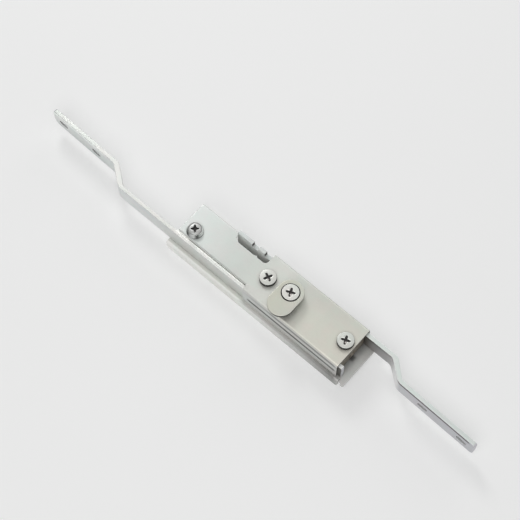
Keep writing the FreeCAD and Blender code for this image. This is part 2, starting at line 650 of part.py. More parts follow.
def main():
    """Build every piece and write it as a file of its own."""
    os.makedirs("parts", exist_ok=True)
    for name, build in PIECES.items():
        shape = build()
        if not shape.isValid():
            raise ValueError(name + " is not a valid shape")
        shape.exportStep("parts/" + name + ".step")
        print(name, len(shape.Solids), round(shape.Volume, 1), shape.BoundBox)


main()
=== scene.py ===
"""Dressed scene of a multipoint door lock: a bent steel case, a turning lever and two joggled flat rods.

Lengths are in millimetres unless a name says otherwise. Meshes are written in metres, in the frame of the
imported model: X along the rods, the front of the case toward -Y, Z up.
"""

import logging
import math
from abc import ABC, abstractmethod
from collections.abc import Callable, Iterable, Sequence
from dataclasses import dataclass, field, replace
from enum import Enum, IntEnum
from functools import cached_property

import bmesh
import bpy
from mathutils import Matrix, Vector


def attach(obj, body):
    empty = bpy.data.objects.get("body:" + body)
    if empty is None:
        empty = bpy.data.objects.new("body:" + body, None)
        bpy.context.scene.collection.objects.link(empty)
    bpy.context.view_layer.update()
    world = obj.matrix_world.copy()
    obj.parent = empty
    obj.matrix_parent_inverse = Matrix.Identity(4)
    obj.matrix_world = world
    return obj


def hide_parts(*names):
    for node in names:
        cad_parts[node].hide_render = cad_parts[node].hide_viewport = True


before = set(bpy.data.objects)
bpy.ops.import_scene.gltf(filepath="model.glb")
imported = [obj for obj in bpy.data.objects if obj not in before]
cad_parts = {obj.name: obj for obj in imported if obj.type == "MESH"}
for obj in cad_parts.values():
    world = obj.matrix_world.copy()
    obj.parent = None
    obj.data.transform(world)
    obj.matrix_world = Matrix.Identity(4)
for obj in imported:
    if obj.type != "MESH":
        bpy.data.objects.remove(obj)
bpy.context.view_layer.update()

LOG = logging.getLogger("door_lock")
MM = 0.001
Point = tuple[float, float]
Place = tuple[float, float, float]
Colour = tuple[float, float, float]
Profile = Callable[[float], float]

# Places and levels that several pieces share.
AXIS: Point = (32.9, 0.0)
TONGUE_POST: Point = (-49.0, -6.4)
PAN_SCREW_X: Point = (12.6, 81.8)
BASE_TOP = 8.4
COVER_TOP = 27.4

# The rods' distance from the middle, their tips and the slope of the parts toward them, and the toothed wheel.
ROD_Y = 14.6
ROD_TIP = 191.9
TIP_SLOPE = math.tan(math.radians(1.5))
TEETH = 8
MESH_TURN = math.radians(9.0)

# When points are the same, when faces are one plane (in radians), when a cut meets a point, when a corner is straight
# (in radians) and when a share counts as zero.
SAME_POINT = 1e-4
SAME_PLANE = 0.005
ON_CUT = 1e-5
STRAIGHT = 0.02
TINY = 1e-9

# Which way the viewer stands in plan; the painted highlight in each screw's recess lies that way from its axis.
TOWARD_VIEWER: Point = (0.66, -0.75)

# Tones that the surfaces share. The rubbed-metal tone also paints highlights on edges, and the dirt tone also paints
# shade into corners.
WORN_METAL_HIGHLIGHT: Colour = (0.97, 0.98, 0.97)
DIRT_AND_SHADE: Colour = (0.34, 0.32, 0.29)
FILM_HUES: tuple[Colour, Colour] = ((1.012, 0.992, 0.995), (0.988, 1.008, 1.0))
FILM_SPAN: Point = (0.35, 0.65)

# How steeply the edge finder answers, how wearing and painted edge highlights follow the marks, how dirt and painted
# corner shade follow the clouds, and what moves the roughness.
EDGE_GAIN = 6.0
EVEN_WEAR_AND_HIGHLIGHT, MARKED_WEAR_AND_HIGHLIGHT = 0.7, 0.4
EVEN_GRIME_AND_SHADE, CLOUDY_GRIME_AND_SHADE = 0.6, 0.8
ROUGH_MARKS, ROUGH_FLECKS, ROUGH_EDGES, ROUGH_HOLLOWS = 0.16, 0.1, 0.08, 0.12


class Body(Enum):
    """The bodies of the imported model."""

    CASE = "case"
    DRIVE = "drive"
    LEFT_ROD = "left_rod"
    RIGHT_ROD = "right_rod"


class Pattern(Enum):
    """Noise patterns: cycles per millimetre along X, Y and Z, octaves, and the weight of the finer octaves."""

    CLOUDS = ((0.06, 0.06, 0.06), 4.0, 0.6)
    FILM = ((0.11, 0.13, 0.13), 2.0, 0.5)
    FLECKS = ((0.9, 0.9, 0.9), 3.0, 0.6)
    ROLLED = ((0.05, 1.6, 1.6), 4.0, 0.65)
    DRAWN = ((0.03, 1.2, 2.2), 4.0, 0.65)
    SCRATCHES = ((0.4, 7.0, 7.0), 2.0, 0.55)
    RINGS = ((1.0, 1.0, 1.0), 2.0, 0.55)
    TURNINGS = ((0.8, 0.8, 0.8), 3.0, 0.55)
    GRAINS = ((2.2, 2.2, 2.2), 4.0, 0.55)
    PAINT = ((0.01, 0.01, 0.01), 3.0, 0.55)


class SheetSkin(IntEnum):
    """Material indices of a bent sheet."""

    FACE = 0
    CUT = 1
    WALL = 2


class RodSkin(IntEnum):
    """Material indices of a rod."""

    FACE = 0
    NOTCH = 1
    END = 2
    EDGE = 3
    SLOT = 4
    # Front with painted light where it shows through the cover's cut-out.
    RACK = 5
    BACK = 6


class HeadSkin(IntEnum):
    """Material indices of a screw and of the lever's plate."""

    TOP = 0
    # Faces painted dark as shade: the screws' recesses, the lever's recess, the collar's foot and the groove round its
    # top.
    RECESS_SHADE = 1
    SIDE = 2


class Term:
    """A shader value that takes part in arithmetic."""

    def __init__(self, graph: "Graph", socket: bpy.types.NodeSocket) -> None:
        """Wrap a socket.

        Args:
            graph: the node tree that the socket belongs to.
            socket: an output socket.
        """
        self.graph = graph
        self.socket = socket

    def __add__(self, other: "Term | float") -> "Term":
        """Sum."""
        return self.graph.math("ADD", self, other)

    def __sub__(self, other: "Term | float") -> "Term":
        """Difference."""
        return self.graph.math("SUBTRACT", self, other)

    def __rsub__(self, other: float) -> "Term":
        """Difference from a number."""
        return self.graph.math("SUBTRACT", other, self)

    def __mul__(self, other: "Term | float") -> "Term":
        """Product."""
        return self.graph.math("MULTIPLY", self, other)

    def __truediv__(self, other: "Term | float") -> "Term":
        """Quotient."""
        return self.graph.math("DIVIDE", self, other)

    __radd__ = __add__
    __rmul__ = __mul__

    def clamped(self) -> "Term":
        """Held between 0 and 1."""
        return self.graph.math("ADD", self, 0.0, held=True)


class Graph:
    """One node tree and the ways of adding to it."""

    def __init__(self, tree: bpy.types.NodeTree) -> None:
        """Empty a tree.

        Args:
            tree: the node tree of a material or of the world.
        """
        self.tree = tree
        tree.nodes.clear()

    def node(self, kind: str, settings: dict | None = None, sockets: dict | None = None) -> bpy.types.Node:
        """Add a node.

        Args:
            kind: the node's type.
            settings: properties, set first; "stops" fills a colour ramp with (place, colour) pairs.
            sockets: input name or index to a Term, which is linked, or to a plain value.

        Returns:
            The node.
        """
        made = self.tree.nodes.new(kind)
        for key, value in (settings or {}).items():
            if key == "stops":
                ramp = made.color_ramp.elements
                for place, _ in value[1:-1]:
                    ramp.new(place)
                for stop, (place, colour) in zip(ramp, value):
                    stop.position = place
                    stop.color = (*colour, 1.0)
            else:
                setattr(made, key, value)
        for key, value in (sockets or {}).items():
            if isinstance(value, Term):
                self.tree.links.new(value.socket, made.inputs[key])
            else:
                made.inputs[key].default_value = value
        return made

    def out(self, made: bpy.types.Node, output: int | str = 0) -> Term:
        """One output of a node as a term."""
        return Term(self, made.outputs[output])

    def math(self, operation: str, *values: "Term | float", held: bool = False) -> Term:
        """Arithmetic on values.

        Args:
            operation: the Math node's operation.
            values: its inputs in order.
            held: keep the result between 0 and 1.

        Returns:
            The result.
        """
        settings = {"operation": operation, "use_clamp": held}
        return self.out(self.node("ShaderNodeMath", settings, dict(enumerate(values))))

    def vector(self, operation: str, *values: "Term | Place", output: int = 0) -> Term:
        """Vector arithmetic; output 1 is the number that a dot product gives."""
        made = self.node("ShaderNodeVectorMath", {"operation": operation}, dict(enumerate(values)))
        return self.out(made, output)

    def mix(self, factor: "Term | float", low: "Term | Colour", high: "Term | Colour", blend: str = "MIX") -> Term:
        """Mix of two colours.

        Args:
            factor: 0 gives low and 1 gives high, or low blended with high.
            low: the first colour.
            high: the second colour.
            blend: the way in which they are mixed.

        Returns:
            The mixed colour.
        """
        low, high = (c if isinstance(c, Term) else (*c, 1.0) for c in (low, high))
        made = self.node("ShaderNodeMix", {"data_type": "RGBA", "blend_type": blend}, {0: factor, 6: low, 7: high})
        return self.out(made, 2)

    def times(self, low: "Term | Colour", high: "Term | Colour") -> Term:
        """Product of two colours."""
        return self.mix(1.0, low, high, "MULTIPLY")

    def grey(self, value: Term) -> Term:
        """A value as a neutral colour."""
        return self.out(self.node("ShaderNodeCombineColor", None, {0: value, 1: value, 2: value}))

    def between(self, value: Term, low: float, high: float) -> Term:
        """0 at low and beyond it, 1 at high and beyond it, and a smooth change between them."""
        made = self.node("ShaderNodeMapRange", {"interpolation_type": "SMOOTHSTEP"}, {0: value, 1: low, 2: high})
        return self.out(made)

    def point(self) -> Term:
        """Place on the object in millimetres."""
        made = self.node("ShaderNodeTexCoord")
        return self.vector("MULTIPLY", self.out(made, "Object"), (1 / MM, 1 / MM, 1 / MM))

    def along(self, point: Term) -> tuple[Term, Term, Term]:
        """The X, Y and Z of a point."""
        made = self.node("ShaderNodeSeparateXYZ", None, {0: point})
        return self.out(made, 0), self.out(made, 1), self.out(made, 2)

    def noise(self, point: Term, pattern: Pattern) -> Term:
        """Noise from 0 to 1 around 0.5.

        Args:
            point: where.
            pattern: which noise.

        Returns:
            The value.
        """
        stretch, detail, rough = pattern.value
        place = self.vector("MULTIPLY", point, stretch)
        return self.out(self.node("ShaderNodeTexNoise", None, {0: place, 2: 1.0, 3: detail, 4: rough}))

    def edges(self, radius: float) -> Term:
        """Find sharp edges.

        Args:
            radius: how far beside an edge still counts, in millimetres.

        Returns:
            1 on sharp edges and 0 on flat faces.
        """
        bevel = self.node("ShaderNodeBevel", {"samples": 4}, {0: radius * MM})
        normal = self.node("ShaderNodeNewGeometry")
        dot = self.vector("DOT_PRODUCT", self.out(bevel), self.out(normal, "Normal"), output=1)
        return ((1.0 - dot) * EDGE_GAIN).clamped()

    def occlusion(self, reach: float) -> Term:
        """Ambient occlusion, used to paint dirt and shade into corners: 1 deep in corners within a reach, 0 in the
        open.
        """
        made = self.node("ShaderNodeAmbientOcclusion", {"samples": 6}, {"Distance": reach * MM})
        return 1.0 - self.out(made, "AO")

    def bump(self, height: Term, depth: float) -> Term:
        """Surface relief of a depth in millimetres."""
        made = self.node("ShaderNodeBump", None, {"Strength": 1.0, "Distance": depth * MM, "Height": height})
        return self.out(made, "Normal")

    def seen_rays(self) -> Term:
        """Tell rays that a viewer sees from rays that only carry light.

        Returns:
            1 where the camera looks, directly, in gloss or through glass, and 0 for light.
        """
        path = self.node("ShaderNodeLightPath")
        direct, gloss, through = (self.out(path, f"Is {name} Ray") for name in ("Camera", "Glossy", "Transmission"))
        return (direct + gloss + through).clamped()

    def metal(self, **sockets: "Term | float | tuple") -> None:
        """Finish the tree with a metal shader.

        Args:
            sockets: input names, with _ for a space, to terms or values.
        """
        named = {key.replace("_", " "): value for key, value in sockets.items()}
        shader = self.node("ShaderNodeBsdfPrincipled", None, named)
        self.node("ShaderNodeOutputMaterial", None, {"Surface": self.out(shader)})


@dataclass(frozen=True)
class PaintedLightPatch:
    """A patch of painted light and shade: a part of a surface whose tone is multiplied by a colour, with soft bounds
    along each axis.

    A bound is (none, full) or (none, full, full, none) in millimetres, and an empty one holds everywhere.
    """

    tone: Colour
    x: tuple[float, ...] = ()
    y: tuple[float, ...] = ()
    z: tuple[float, ...] = ()

    def share(self, graph: Graph, place: tuple[Term, Term, Term]) -> Term | float:
        """How strongly it acts at a place.

        Args:
            graph: the material's nodes.
            place: X, Y and Z in millimetres.

        Returns:
            0 outside its bounds and 1 well inside them.
        """
        share: Term | float = 1.0
        for value, bound in zip(place, (self.x, self.y, self.z)):
            if bound:
                share = graph.between(value, bound[0], bound[1]) * share
            if len(bound) == 4:
                share = graph.between(value, bound[3], bound[2]) * share
        return share


@dataclass(frozen=True)
class Finish(ABC):
    """A metal surface: its tone with painted light and shade, its gloss and the marks that its making and its use
    leave.

    Soft is how far wearing and painted edge highlights reach from an edge, reach how far dirt and painted shade reach
    from a corner, and depth that of the finest marks, all in millimetres. Lean is a slope that tips the shading normal
    upward. Fades are patches of painted light and shade.
    """

    name: str
    tone: Colour
    metallic: float = 0.6
    roughness: float = 0.42
    mottle: float = 0.06
    marks: float = 0.08
    wear_and_highlight: float = 0.55
    soft: float = 0.6
    grime_and_shade: float = 0.4
    reach: float = 2.5
    lean: float = 0.0
    depth: float = 0.012
    fades: tuple[PaintedLightPatch, ...] = ()

    @abstractmethod
    def relief(self, graph: Graph, point: Term) -> Term:
        """Height of the finest marks, around 0.5."""

    def tint(self, graph: Graph, point: Term) -> "Term | Colour":
        """Tone before wearing, painted edge highlights, dirt and painted corner shade."""
        return self.tone

    def material(self) -> bpy.types.Material:
        """Build the material.

        Returns:
            A material with its tone, painted light and shade, mottling, marks, rubbed edges with painted highlights,
            and corners darkened by dirt and painted shade.
        """
        made = bpy.data.materials.new(self.name)
        made.use_nodes = True
        graph = Graph(made.node_tree)
        point = graph.point()
        relief = self.relief(graph, point)
        cloud, film, fleck = (graph.noise(point, p) for p in (Pattern.CLOUDS, Pattern.FILM, Pattern.FLECKS))
        shade = 1.0 + (cloud - 0.5) * (2 * self.mottle) + (relief - 0.5) * self.marks + (fleck - 0.5) * self.mottle
        tone = graph.times(graph.grey(shade), self.tint(graph, point))
        tone = graph.times(tone, graph.mix(graph.between(film, *FILM_SPAN), *FILM_HUES))
        place = graph.along(point)
        # Painted light and shade: each patch multiplies the tone in its place.
        for painted_patch in self.fades:
            tone = graph.mix(painted_patch.share(graph, place), tone, graph.times(tone, painted_patch.tone))
        edges = graph.edges(self.soft)
        occlusion = graph.occlusion(self.reach)
        # Edges lighten as wearing and as painted highlights; corners darken from ambient occlusion as dirt and as
        # painted shade.
        worn_and_highlit = edges * (EVEN_WEAR_AND_HIGHLIGHT + relief * MARKED_WEAR_AND_HIGHLIGHT) * self.wear_and_highlight
        tone = graph.mix(worn_and_highlit.clamped(), tone, WORN_METAL_HIGHLIGHT)
        grimy_and_shaded = occlusion * (EVEN_GRIME_AND_SHADE + cloud * CLOUDY_GRIME_AND_SHADE) * self.grime_and_shade
        tone = graph.mix(grimy_and_shaded.clamped(), tone, graph.times(tone, DIRT_AND_SHADE))
        gloss = self.roughness + (relief - 0.5) * ROUGH_MARKS + (fleck - 0.5) * ROUGH_FLECKS
        gloss = gloss - edges * ROUGH_EDGES + occlusion * ROUGH_HOLLOWS
        height = relief - place[2] * (self.lean / self.depth) if self.lean else relief
        bump = graph.bump(height, self.depth)
        graph.metal(Base_Color=tone, Metallic=self.metallic, Roughness=gloss.clamped(), Normal=bump)
        return made


@dataclass(frozen=True)
class PlatedSheet(Finish):
    """Zinc-plated sheet or bar with a grain that runs along X, and painted light and shade that change its tone along
    X.

    Painted_light_drift is a list of (X in millimetres, tone), and grain_share the weight of the grain against the
    scratches.
    """

    grain: Pattern = Pattern.ROLLED
    grain_share: float = 0.6
    painted_light_drift: tuple[tuple[float, Colour], ...] = ()

    def relief(self, graph: Graph, point: Term) -> Term:
        """Fine lines of the grain and short scratches.

        Args:
            graph: the material's nodes.
            point: place on the piece.

        Returns:
            Their height, around 0.5.
        """
        lines = graph.noise(point, self.grain)
        fine = graph.noise(point, Pattern.SCRATCHES)
        return lines * self.grain_share + fine * (1 - self.grain_share)

    def tint(self, graph: Graph, point: Term) -> "Term | Colour":
        """The one tone, or the painted light and shade as tones that follow each other along X.

        Args:
            graph: the material's nodes.
            point: place on the piece.

        Returns:
            The tone before wearing, painted edge highlights, dirt and painted corner shade.
        """
        if not self.painted_light_drift:
            return self.tone
        first, last = self.painted_light_drift[0][0], self.painted_light_drift[-1][0]
        share = (graph.along(point)[0] - first) / (last - first)
        stops = [((place - first) / (last - first), colour) for place, colour in self.painted_light_drift]
        return graph.out(graph.node("ShaderNodeValToRGB", {"stops": stops}, {0: share}))


@dataclass(frozen=True)
class Turned(Finish):
    """Turned metal with fine rings round an upright axis and broad painted stripes of reflected light and of shade
    round its side.

    A painted stripe is (share of the turn from -X, brightness); without them the tone is even. Rings holds the rings
    per millimetre outward and upward.
    """

    centre: Point = (0.0, 0.0)
    painted_streaks: tuple[Point, ...] = ()
    rings: Point = (3.2, 1.5)
    ring_share: float = 0.7

    def spoke(self, graph: Graph, point: Term) -> tuple[Term, Term]:
        """Offsets from the axis along X and Y."""
        x, y, _ = graph.along(point)
        return x - self.centre[0], y - self.centre[1]

    def relief(self, graph: Graph, point: Term) -> Term:
        """Uneven rings.

        Args:
            graph: the material's nodes.
            point: place on the piece.

        Returns:
            Their height, around 0.5.
        """
        across, deep = self.spoke(graph, point)
        radius = graph.math("SQRT", across * across + deep * deep)
        height = graph.along(point)[2]
        turned = {0: radius * self.rings[0], 1: height * self.rings[1], 2: 0.0}
        rings = graph.noise(graph.out(graph.node("ShaderNodeCombineXYZ", None, turned)), Pattern.RINGS)
        return rings * self.ring_share + graph.noise(point, Pattern.TURNINGS) * (1 - self.ring_share)

    def tint(self, graph: Graph, point: Term) -> "Term | Colour":
        """The tone, with painted light and shade round the axis where it has painted stripes.

        Args:
            graph: the material's nodes.
            point: place on the piece.

        Returns:
            The tone before wear and grime.
        """
        if not self.painted_streaks:
            return self.tone
        across, deep = self.spoke(graph, point)
        turn = graph.math("ARCTAN2", deep, across) / (2 * math.pi) + 0.5
        stops = [(place, tuple(c * level for c in self.tone)) for place, level in self.painted_streaks]
        return graph.out(graph.node("ShaderNodeValToRGB", {"stops": stops}, {0: turn}))


@dataclass(frozen=True)
class Grainy(Finish):
    """Pressed and sintered metal with an even, open grain: pores per millimetre, and the weights of both parts."""

    pores: float = 2.4
    pore_weight: float = 0.7
    grain_weight: float = 0.5

    def relief(self, graph: Graph, point: Term) -> Term:
        """Pores and grains.

        Args:
            graph: the material's nodes.
            point: place on the piece.

        Returns:
            Their height from 0 to 1.
        """
        made = graph.node("ShaderNodeTexVoronoi", None, {0: point, 2: self.pores})
        pores = graph.out(made, "Distance") * self.pore_weight
        return (pores + graph.noise(point, Pattern.GRAINS) * self.grain_weight).clamped()


def grey(level: float) -> Colour:
    """A neutral tone."""
    return (level, level, level)


def eased(share: float) -> float:
    """Smooth step from 0 to 1."""
    held = min(max(share, 0.0), 1.0)
    return held * held * (3 - 2 * held)


def around(count: int) -> list[float]:
    """Evenly spaced angles in degrees."""
    return [i * 360 / count for i in range(count)]


def quarter(steps: int = 4) -> list[float]:
    """Angles of a quarter turn in radians, for a rounded edge."""
    return [math.radians(i * 90 / steps) for i in range(steps + 1)]


def arc(centre: Point, radius: float, start: float, end: float, steps: int = 8) -> list[Point]:
    """Points along an arc.

    Args:
        centre: its centre.
        radius: its radius.
        start: first angle in degrees.
        end: last angle in degrees.
        steps: number of chords.

    Returns:
        The points with both ends.
    """
    turns = [math.radians(start + (end - start) * i / steps) for i in range(steps + 1)]
    return [(centre[0] + radius * math.cos(t), centre[1] + radius * math.sin(t)) for t in turns]


def rounded(corners: Sequence[tuple[float, float, float]], steps: int = 6) -> list[Point]:
    """Closed outline with rounded corners.

    Args:
        corners: (x, y, radius) in order round the outline.
        steps: chords of each rounded corner.

    Returns:
        The points of the outline.
    """
    points: list[Point] = []
    for before, here, after in zip(corners[-1:] + corners[:-1], corners, corners[1:] + corners[:1]):
        corner = Vector(here[:2])
        back = (Vector(before[:2]) - corner).normalized()
        on = (Vector(after[:2]) - corner).normalized()
        half = back.angle(on) / 2
        if here[2] <= 0 or half > math.pi / 2 - STRAIGHT:
            points.append(tuple(corner))
            continue
        centre = corner + (back + on).normalized() * (here[2] / math.sin(half))
        first = corner + back * (here[2] / math.tan(half)) - centre
        sweep = (math.pi - 2 * half) * (1 if back.cross(on) < 0 else -1)
        for i in range(steps + 1):
            turned = first.copy()
            turned.rotate(Matrix.Rotation(sweep * i / steps, 2))
            points.append(tuple(centre + turned))
    return points


def obround(centre: Point, length: float, width: float, steps: int = 10) -> list[Point]:
    """Outline of a slot that lies along the first axis.

    Args:
        centre: its centre.
        length: its whole length.
        width: its width.
        steps: chords of each round end.

    Returns:
        The points of the outline.
    """
    half = (length - width) / 2
    right = arc((centre[0] + half, centre[1]), width / 2, -90, 90, steps)
    return right + arc((centre[0] - half, centre[1]), width / 2, 90, 270, steps)


def ring(centre: Point, radius: float, steps: int = 48) -> list[Point]:
    """Outline of a round hole."""
    return arc(centre, radius, 0, 360, steps)[:-1]


@dataclass(frozen=True)
class Run:
    """A straight part or a bend of a route. The turn is in radians, and zero where it is straight."""

    start: float
    length: float
    first: Vector
    direction: Vector
    turn: float

    @property
    def end(self) -> float:
        """Distance along the route at which it ends."""
        return self.start + self.length


@dataclass
class Route:
    """Middle line of a folded sheet or bar: straight runs joined by round bends."""

    corners: list[Point]
    radius: float
    runs: list[Run] = field(default_factory=list)

    def __post_init__(self) -> None:
        """Work out the runs."""
        here = Vector(self.corners[0])
        for before, corner, after in zip(self.corners, self.corners[1:], [*self.corners[2:], None]):
            into = (Vector(corner) - Vector(before)).normalized()
            turn = reach = 0.0
            if after is not None:
                out = (Vector(after) - Vector(corner)).normalized()
                turn = math.atan2(into.cross(out), into.dot(out))
                reach = self.radius * math.tan(abs(turn) / 2)
            bend = Vector(corner) - into * reach
            self.runs.append(Run(self.length, (bend - here).length, here, into, 0.0))
            if after is not None:
                self.runs.append(Run(self.length, self.radius * abs(turn), bend, into, turn))
                here = Vector(corner) + out * reach

    @property
    def length(self) -> float:
        """Length of the whole line."""
        return self.runs[-1].end if self.runs else 0.0

    def at(self, run: float, offset: float) -> Point:
        """Find a place beside the line.

        Args:
            run: distance along the line.
            offset: distance to its left.

        Returns:
            The place.
        """
        part = next((part for part in self.runs if run <= part.end), self.runs[-1])
        left = Vector((-part.direction.y, part.direction.x))
        if not part.turn:
            return tuple(part.first + part.direction * (run - part.start) + left * offset)
        hand = math.copysign(1.0, part.turn)
        centre = part.first + left * (hand * self.radius)
        spoke = left * (-hand * (self.radius - hand * offset))
        spoke.rotate(Matrix.Rotation(part.turn * (run - part.start) / part.length, 2))
        return tuple(centre + spoke)

    def creases(self, parts: int) -> list[float]:
        """Distances at which the bends are split into flat strips."""
        return [run.start + run.length * i / parts for run in self.runs if run.turn for i in range(parts + 1)]


def finish_mesh(made: bmesh.types.BMesh, name: str) -> bpy.types.Object:
    """Turn a mesh in millimetres into a smooth-shaded piece in metres.

    Args:
        made: the mesh, which is freed.
        name: name of the piece.

    Returns:
        The piece, linked to the scene.
    """
    bmesh.ops.recalc_face_normals(made, faces=made.faces[:])
    for vertex in made.verts:
        vertex.co *= MM
    for face in made.faces:
        face.smooth = True
    mesh = bpy.data.meshes.new(name)
    made.to_mesh(mesh)
    made.free()
    piece = bpy.data.objects.new(name, mesh)
    bpy.context.scene.collection.objects.link(piece)
    shading = piece.modifiers.new("even_shading", "WEIGHTED_NORMAL")
    shading.mode = "FACE_AREA"
    shading.weight = 50
    return piece


@dataclass
class Blank:
    """A blank cut from sheet or bar, with softly rounded cut edges, that may be folded."""

    outline: list[Point]
    holes: list[list[Point]]
    thickness: float
    edge: float

    def flat(self) -> bmesh.types.BMesh:
        """Cut the blank.

        Returns:
            A mesh in XY with its mid-plane at zero.
        """
        curve = bpy.data.curves.new("blank", "CURVE")
        curve.dimensions = "2D"
        curve.fill_mode = "BOTH"
        curve.extrude = self.thickness / 2 - self.edge
        curve.bevel_depth = self.edge
        curve.bevel_resolution = 1
        curve.offset = -self.edge
        for loop in [self.outline, *self.holes]:
            spline = curve.splines.new("POLY")
            spline.points.add(len(loop) - 1)
            for point, place in zip(spline.points, loop):
                point.co = (*place, 0.0, 1.0)
            spline.use_cyclic_u = True
        holder = bpy.data.objects.new("blank", curve)
        mesh = bpy.data.meshes.new_from_object(holder)
        made = bmesh.new()
        made.from_mesh(mesh)
        bpy.data.objects.remove(holder)
        bpy.data.curves.remove(curve)
        bpy.data.meshes.remove(mesh)
        bmesh.ops.remove_doubles(made, verts=made.verts[:], dist=SAME_POINT)
        bmesh.ops.dissolve_limit(made, angle_limit=SAME_PLANE, verts=made.verts[:], edges=made.edges[:])
        return made

    def folded(self, across: Iterable[float], up: Iterable[float], wrap: Callable[[Vector], Place],
               skin: Callable[[Vector, Vector], int]) -> bmesh.types.BMesh:
        """Split the blank along lines and lay it round its folds.

        Args:
            across: places of the lines that cross the first axis.
            up: places of the lines that cross the second axis.
            wrap: where each point of the flat blank goes.
            skin: material index by a face's middle and normal on the flat blank.

        Returns:
            The folded mesh.
        """
        made = self.flat()
        for places, normal in ((across, Vector((1, 0, 0))), (up, Vector((0, 1, 0)))):
            for place in places:
                geometry = made.verts[:] + made.edges[:] + made.faces[:]
                bmesh.ops.bisect_plane(made, geom=geometry, dist=ON_CUT, plane_co=normal * place, plane_no=normal)
        made.normal_update()
        for face in made.faces:
            face.material_index = skin(face.calc_center_median(), face.normal)
        for vertex in made.verts:
            vertex.co = Vector(wrap(vertex.co))
        bmesh.ops.dissolve_limit(made, angle_limit=SAME_PLANE, verts=made.verts[:], edges=made.edges[:],
                                 delimit={"MATERIAL"})
        return made


@dataclass
class Level:
    """One ring of a skinned solid: its radius by angle, its height by radius, and the skin above it."""

    radius: Profile
    height: Profile
    skin: int = 0


def even(value: float) -> Profile:
    """The same value all round."""
    return lambda _: value


def disc(radius: float, height: float, skin: int = 0) -> Level:
    """A round and level ring."""
    return Level(even(radius), even(height), skin)


def square(side: float) -> Profile:
    """Radius of a square by angle."""
    return lambda t: side / 2 / max(abs(math.cos(t)), abs(math.sin(t)))


def cross(span: float, root: float, tip: float, turn: float) -> Profile:
    """Radius by angle of a cross with four tapering arms.

    Args:
        span: length over two arms.
        root: width of an arm at the middle.
        tip: width of its round end.
        turn: angle of one arm in degrees.

    Returns:
        The radius at an angle in radians.
    """
    cap = (span - tip) / 2
    taper = (root - tip) / 2 / cap

    def radius(t: float) -> float:
        """Edge of the nearest arm.

        Args:
            t: angle in radians.

        Returns:
            The radius.
        """
        off = abs((t - math.radians(turn) + math.pi / 4) % (math.pi / 2) - math.pi / 4)
        c, s = math.cos(off), math.sin(off)
        flank = root / 2 / (s + taper * c) if s + taper * c > TINY else math.inf
        if flank * c <= cap:
            return flank
        return cap * c + math.sqrt(max(0.0, (tip / 2) ** 2 - (cap * s) ** 2))

    return radius


def pill(radius: float, reach: float) -> Profile:
    """Radius by angle of an obround, seen from the centre of one round end.

    Args:
        radius: radius of its ends.
        reach: how far the other end's centre lies toward -Y.

    Returns:
        The radius at an angle in radians.
    """

    def edge(t: float) -> float:
        """Edge of the first end, the flanks or the second end.

        Args:
            t: angle in radians.

        Returns:
            The radius.
        """
        c, s = math.cos(t), math.sin(t)
        if s >= 0:
            return radius
        flank = radius / abs(c) if abs(c) > TINY else math.inf
        if flank * -s <= reach:
            return flank
        return -s * reach + math.sqrt(max(0.0, radius * radius - (c * reach) ** 2))

    return edge


def oblong(left: float, right: float, low: float, high: float) -> Profile:
    """Radius by angle of a rectangle round the origin.

    Args:
        left: its side toward the first axis's negative end.
        right: its side toward the first axis's positive end.
        low: its side toward the second axis's negative end.
        high: its side toward the second axis's positive end.

    Returns:
        The radius at an angle in radians.
    """

    def edge(t: float) -> float:
        """Nearest side.

        Args:
            t: angle in radians.

        Returns:
            The radius.
        """
        sides = ((right, math.cos(t)), (left, math.cos(t)), (high, math.sin(t)), (low, math.sin(t)))
        return min(side / share for side, share in sides if side * share > 0 and abs(share) > TINY)

    return edge


@dataclass
class Skinned:
    """A solid skinned over levels round an axis, closed at its ends or through its bore."""

    levels: list[Level]
    bored: bool = False
    place: Matrix = field(default_factory=lambda: Matrix.Identity(4))
    angles: list[float] = field(default_factory=lambda: around(120))

    def mesh(self) -> bmesh.types.BMesh:
        """Skin the levels.

        Returns:
            The closed mesh.
        """
        made = bmesh.new()
        rings = []
        for level in self.levels:
            verts = []
            for degrees in self.angles:
                t = math.radians(degrees)
                r = level.radius(t)
                spot = Vector((r * math.cos(t), r * math.sin(t), level.height(r)))
                verts.append(made.verts.new(self.place @ spot))
            rings.append(verts)
        count = len(self.angles)
        pairs = list(zip(self.levels, rings, rings[1:]))
        if self.bored:
            pairs.append((self.levels[-1], rings[-1], rings[0]))
        for level, low, high in pairs:
            for i in range(count):
                j = (i + 1) % count
                face = made.faces.new((low[i], low[j], high[j], high[i]))
                face.material_index = level.skin
        if not self.bored:
            for level, verts in ((self.levels[0], rings[0]), (self.levels[-1], rings[-1])):
                made.faces.new(verts).material_index = level.skin
        return made


def upright(x: float, y: float) -> Matrix:
    """Placement of a solid on an upright axis."""
    return Matrix.Translation((x, y, 0))


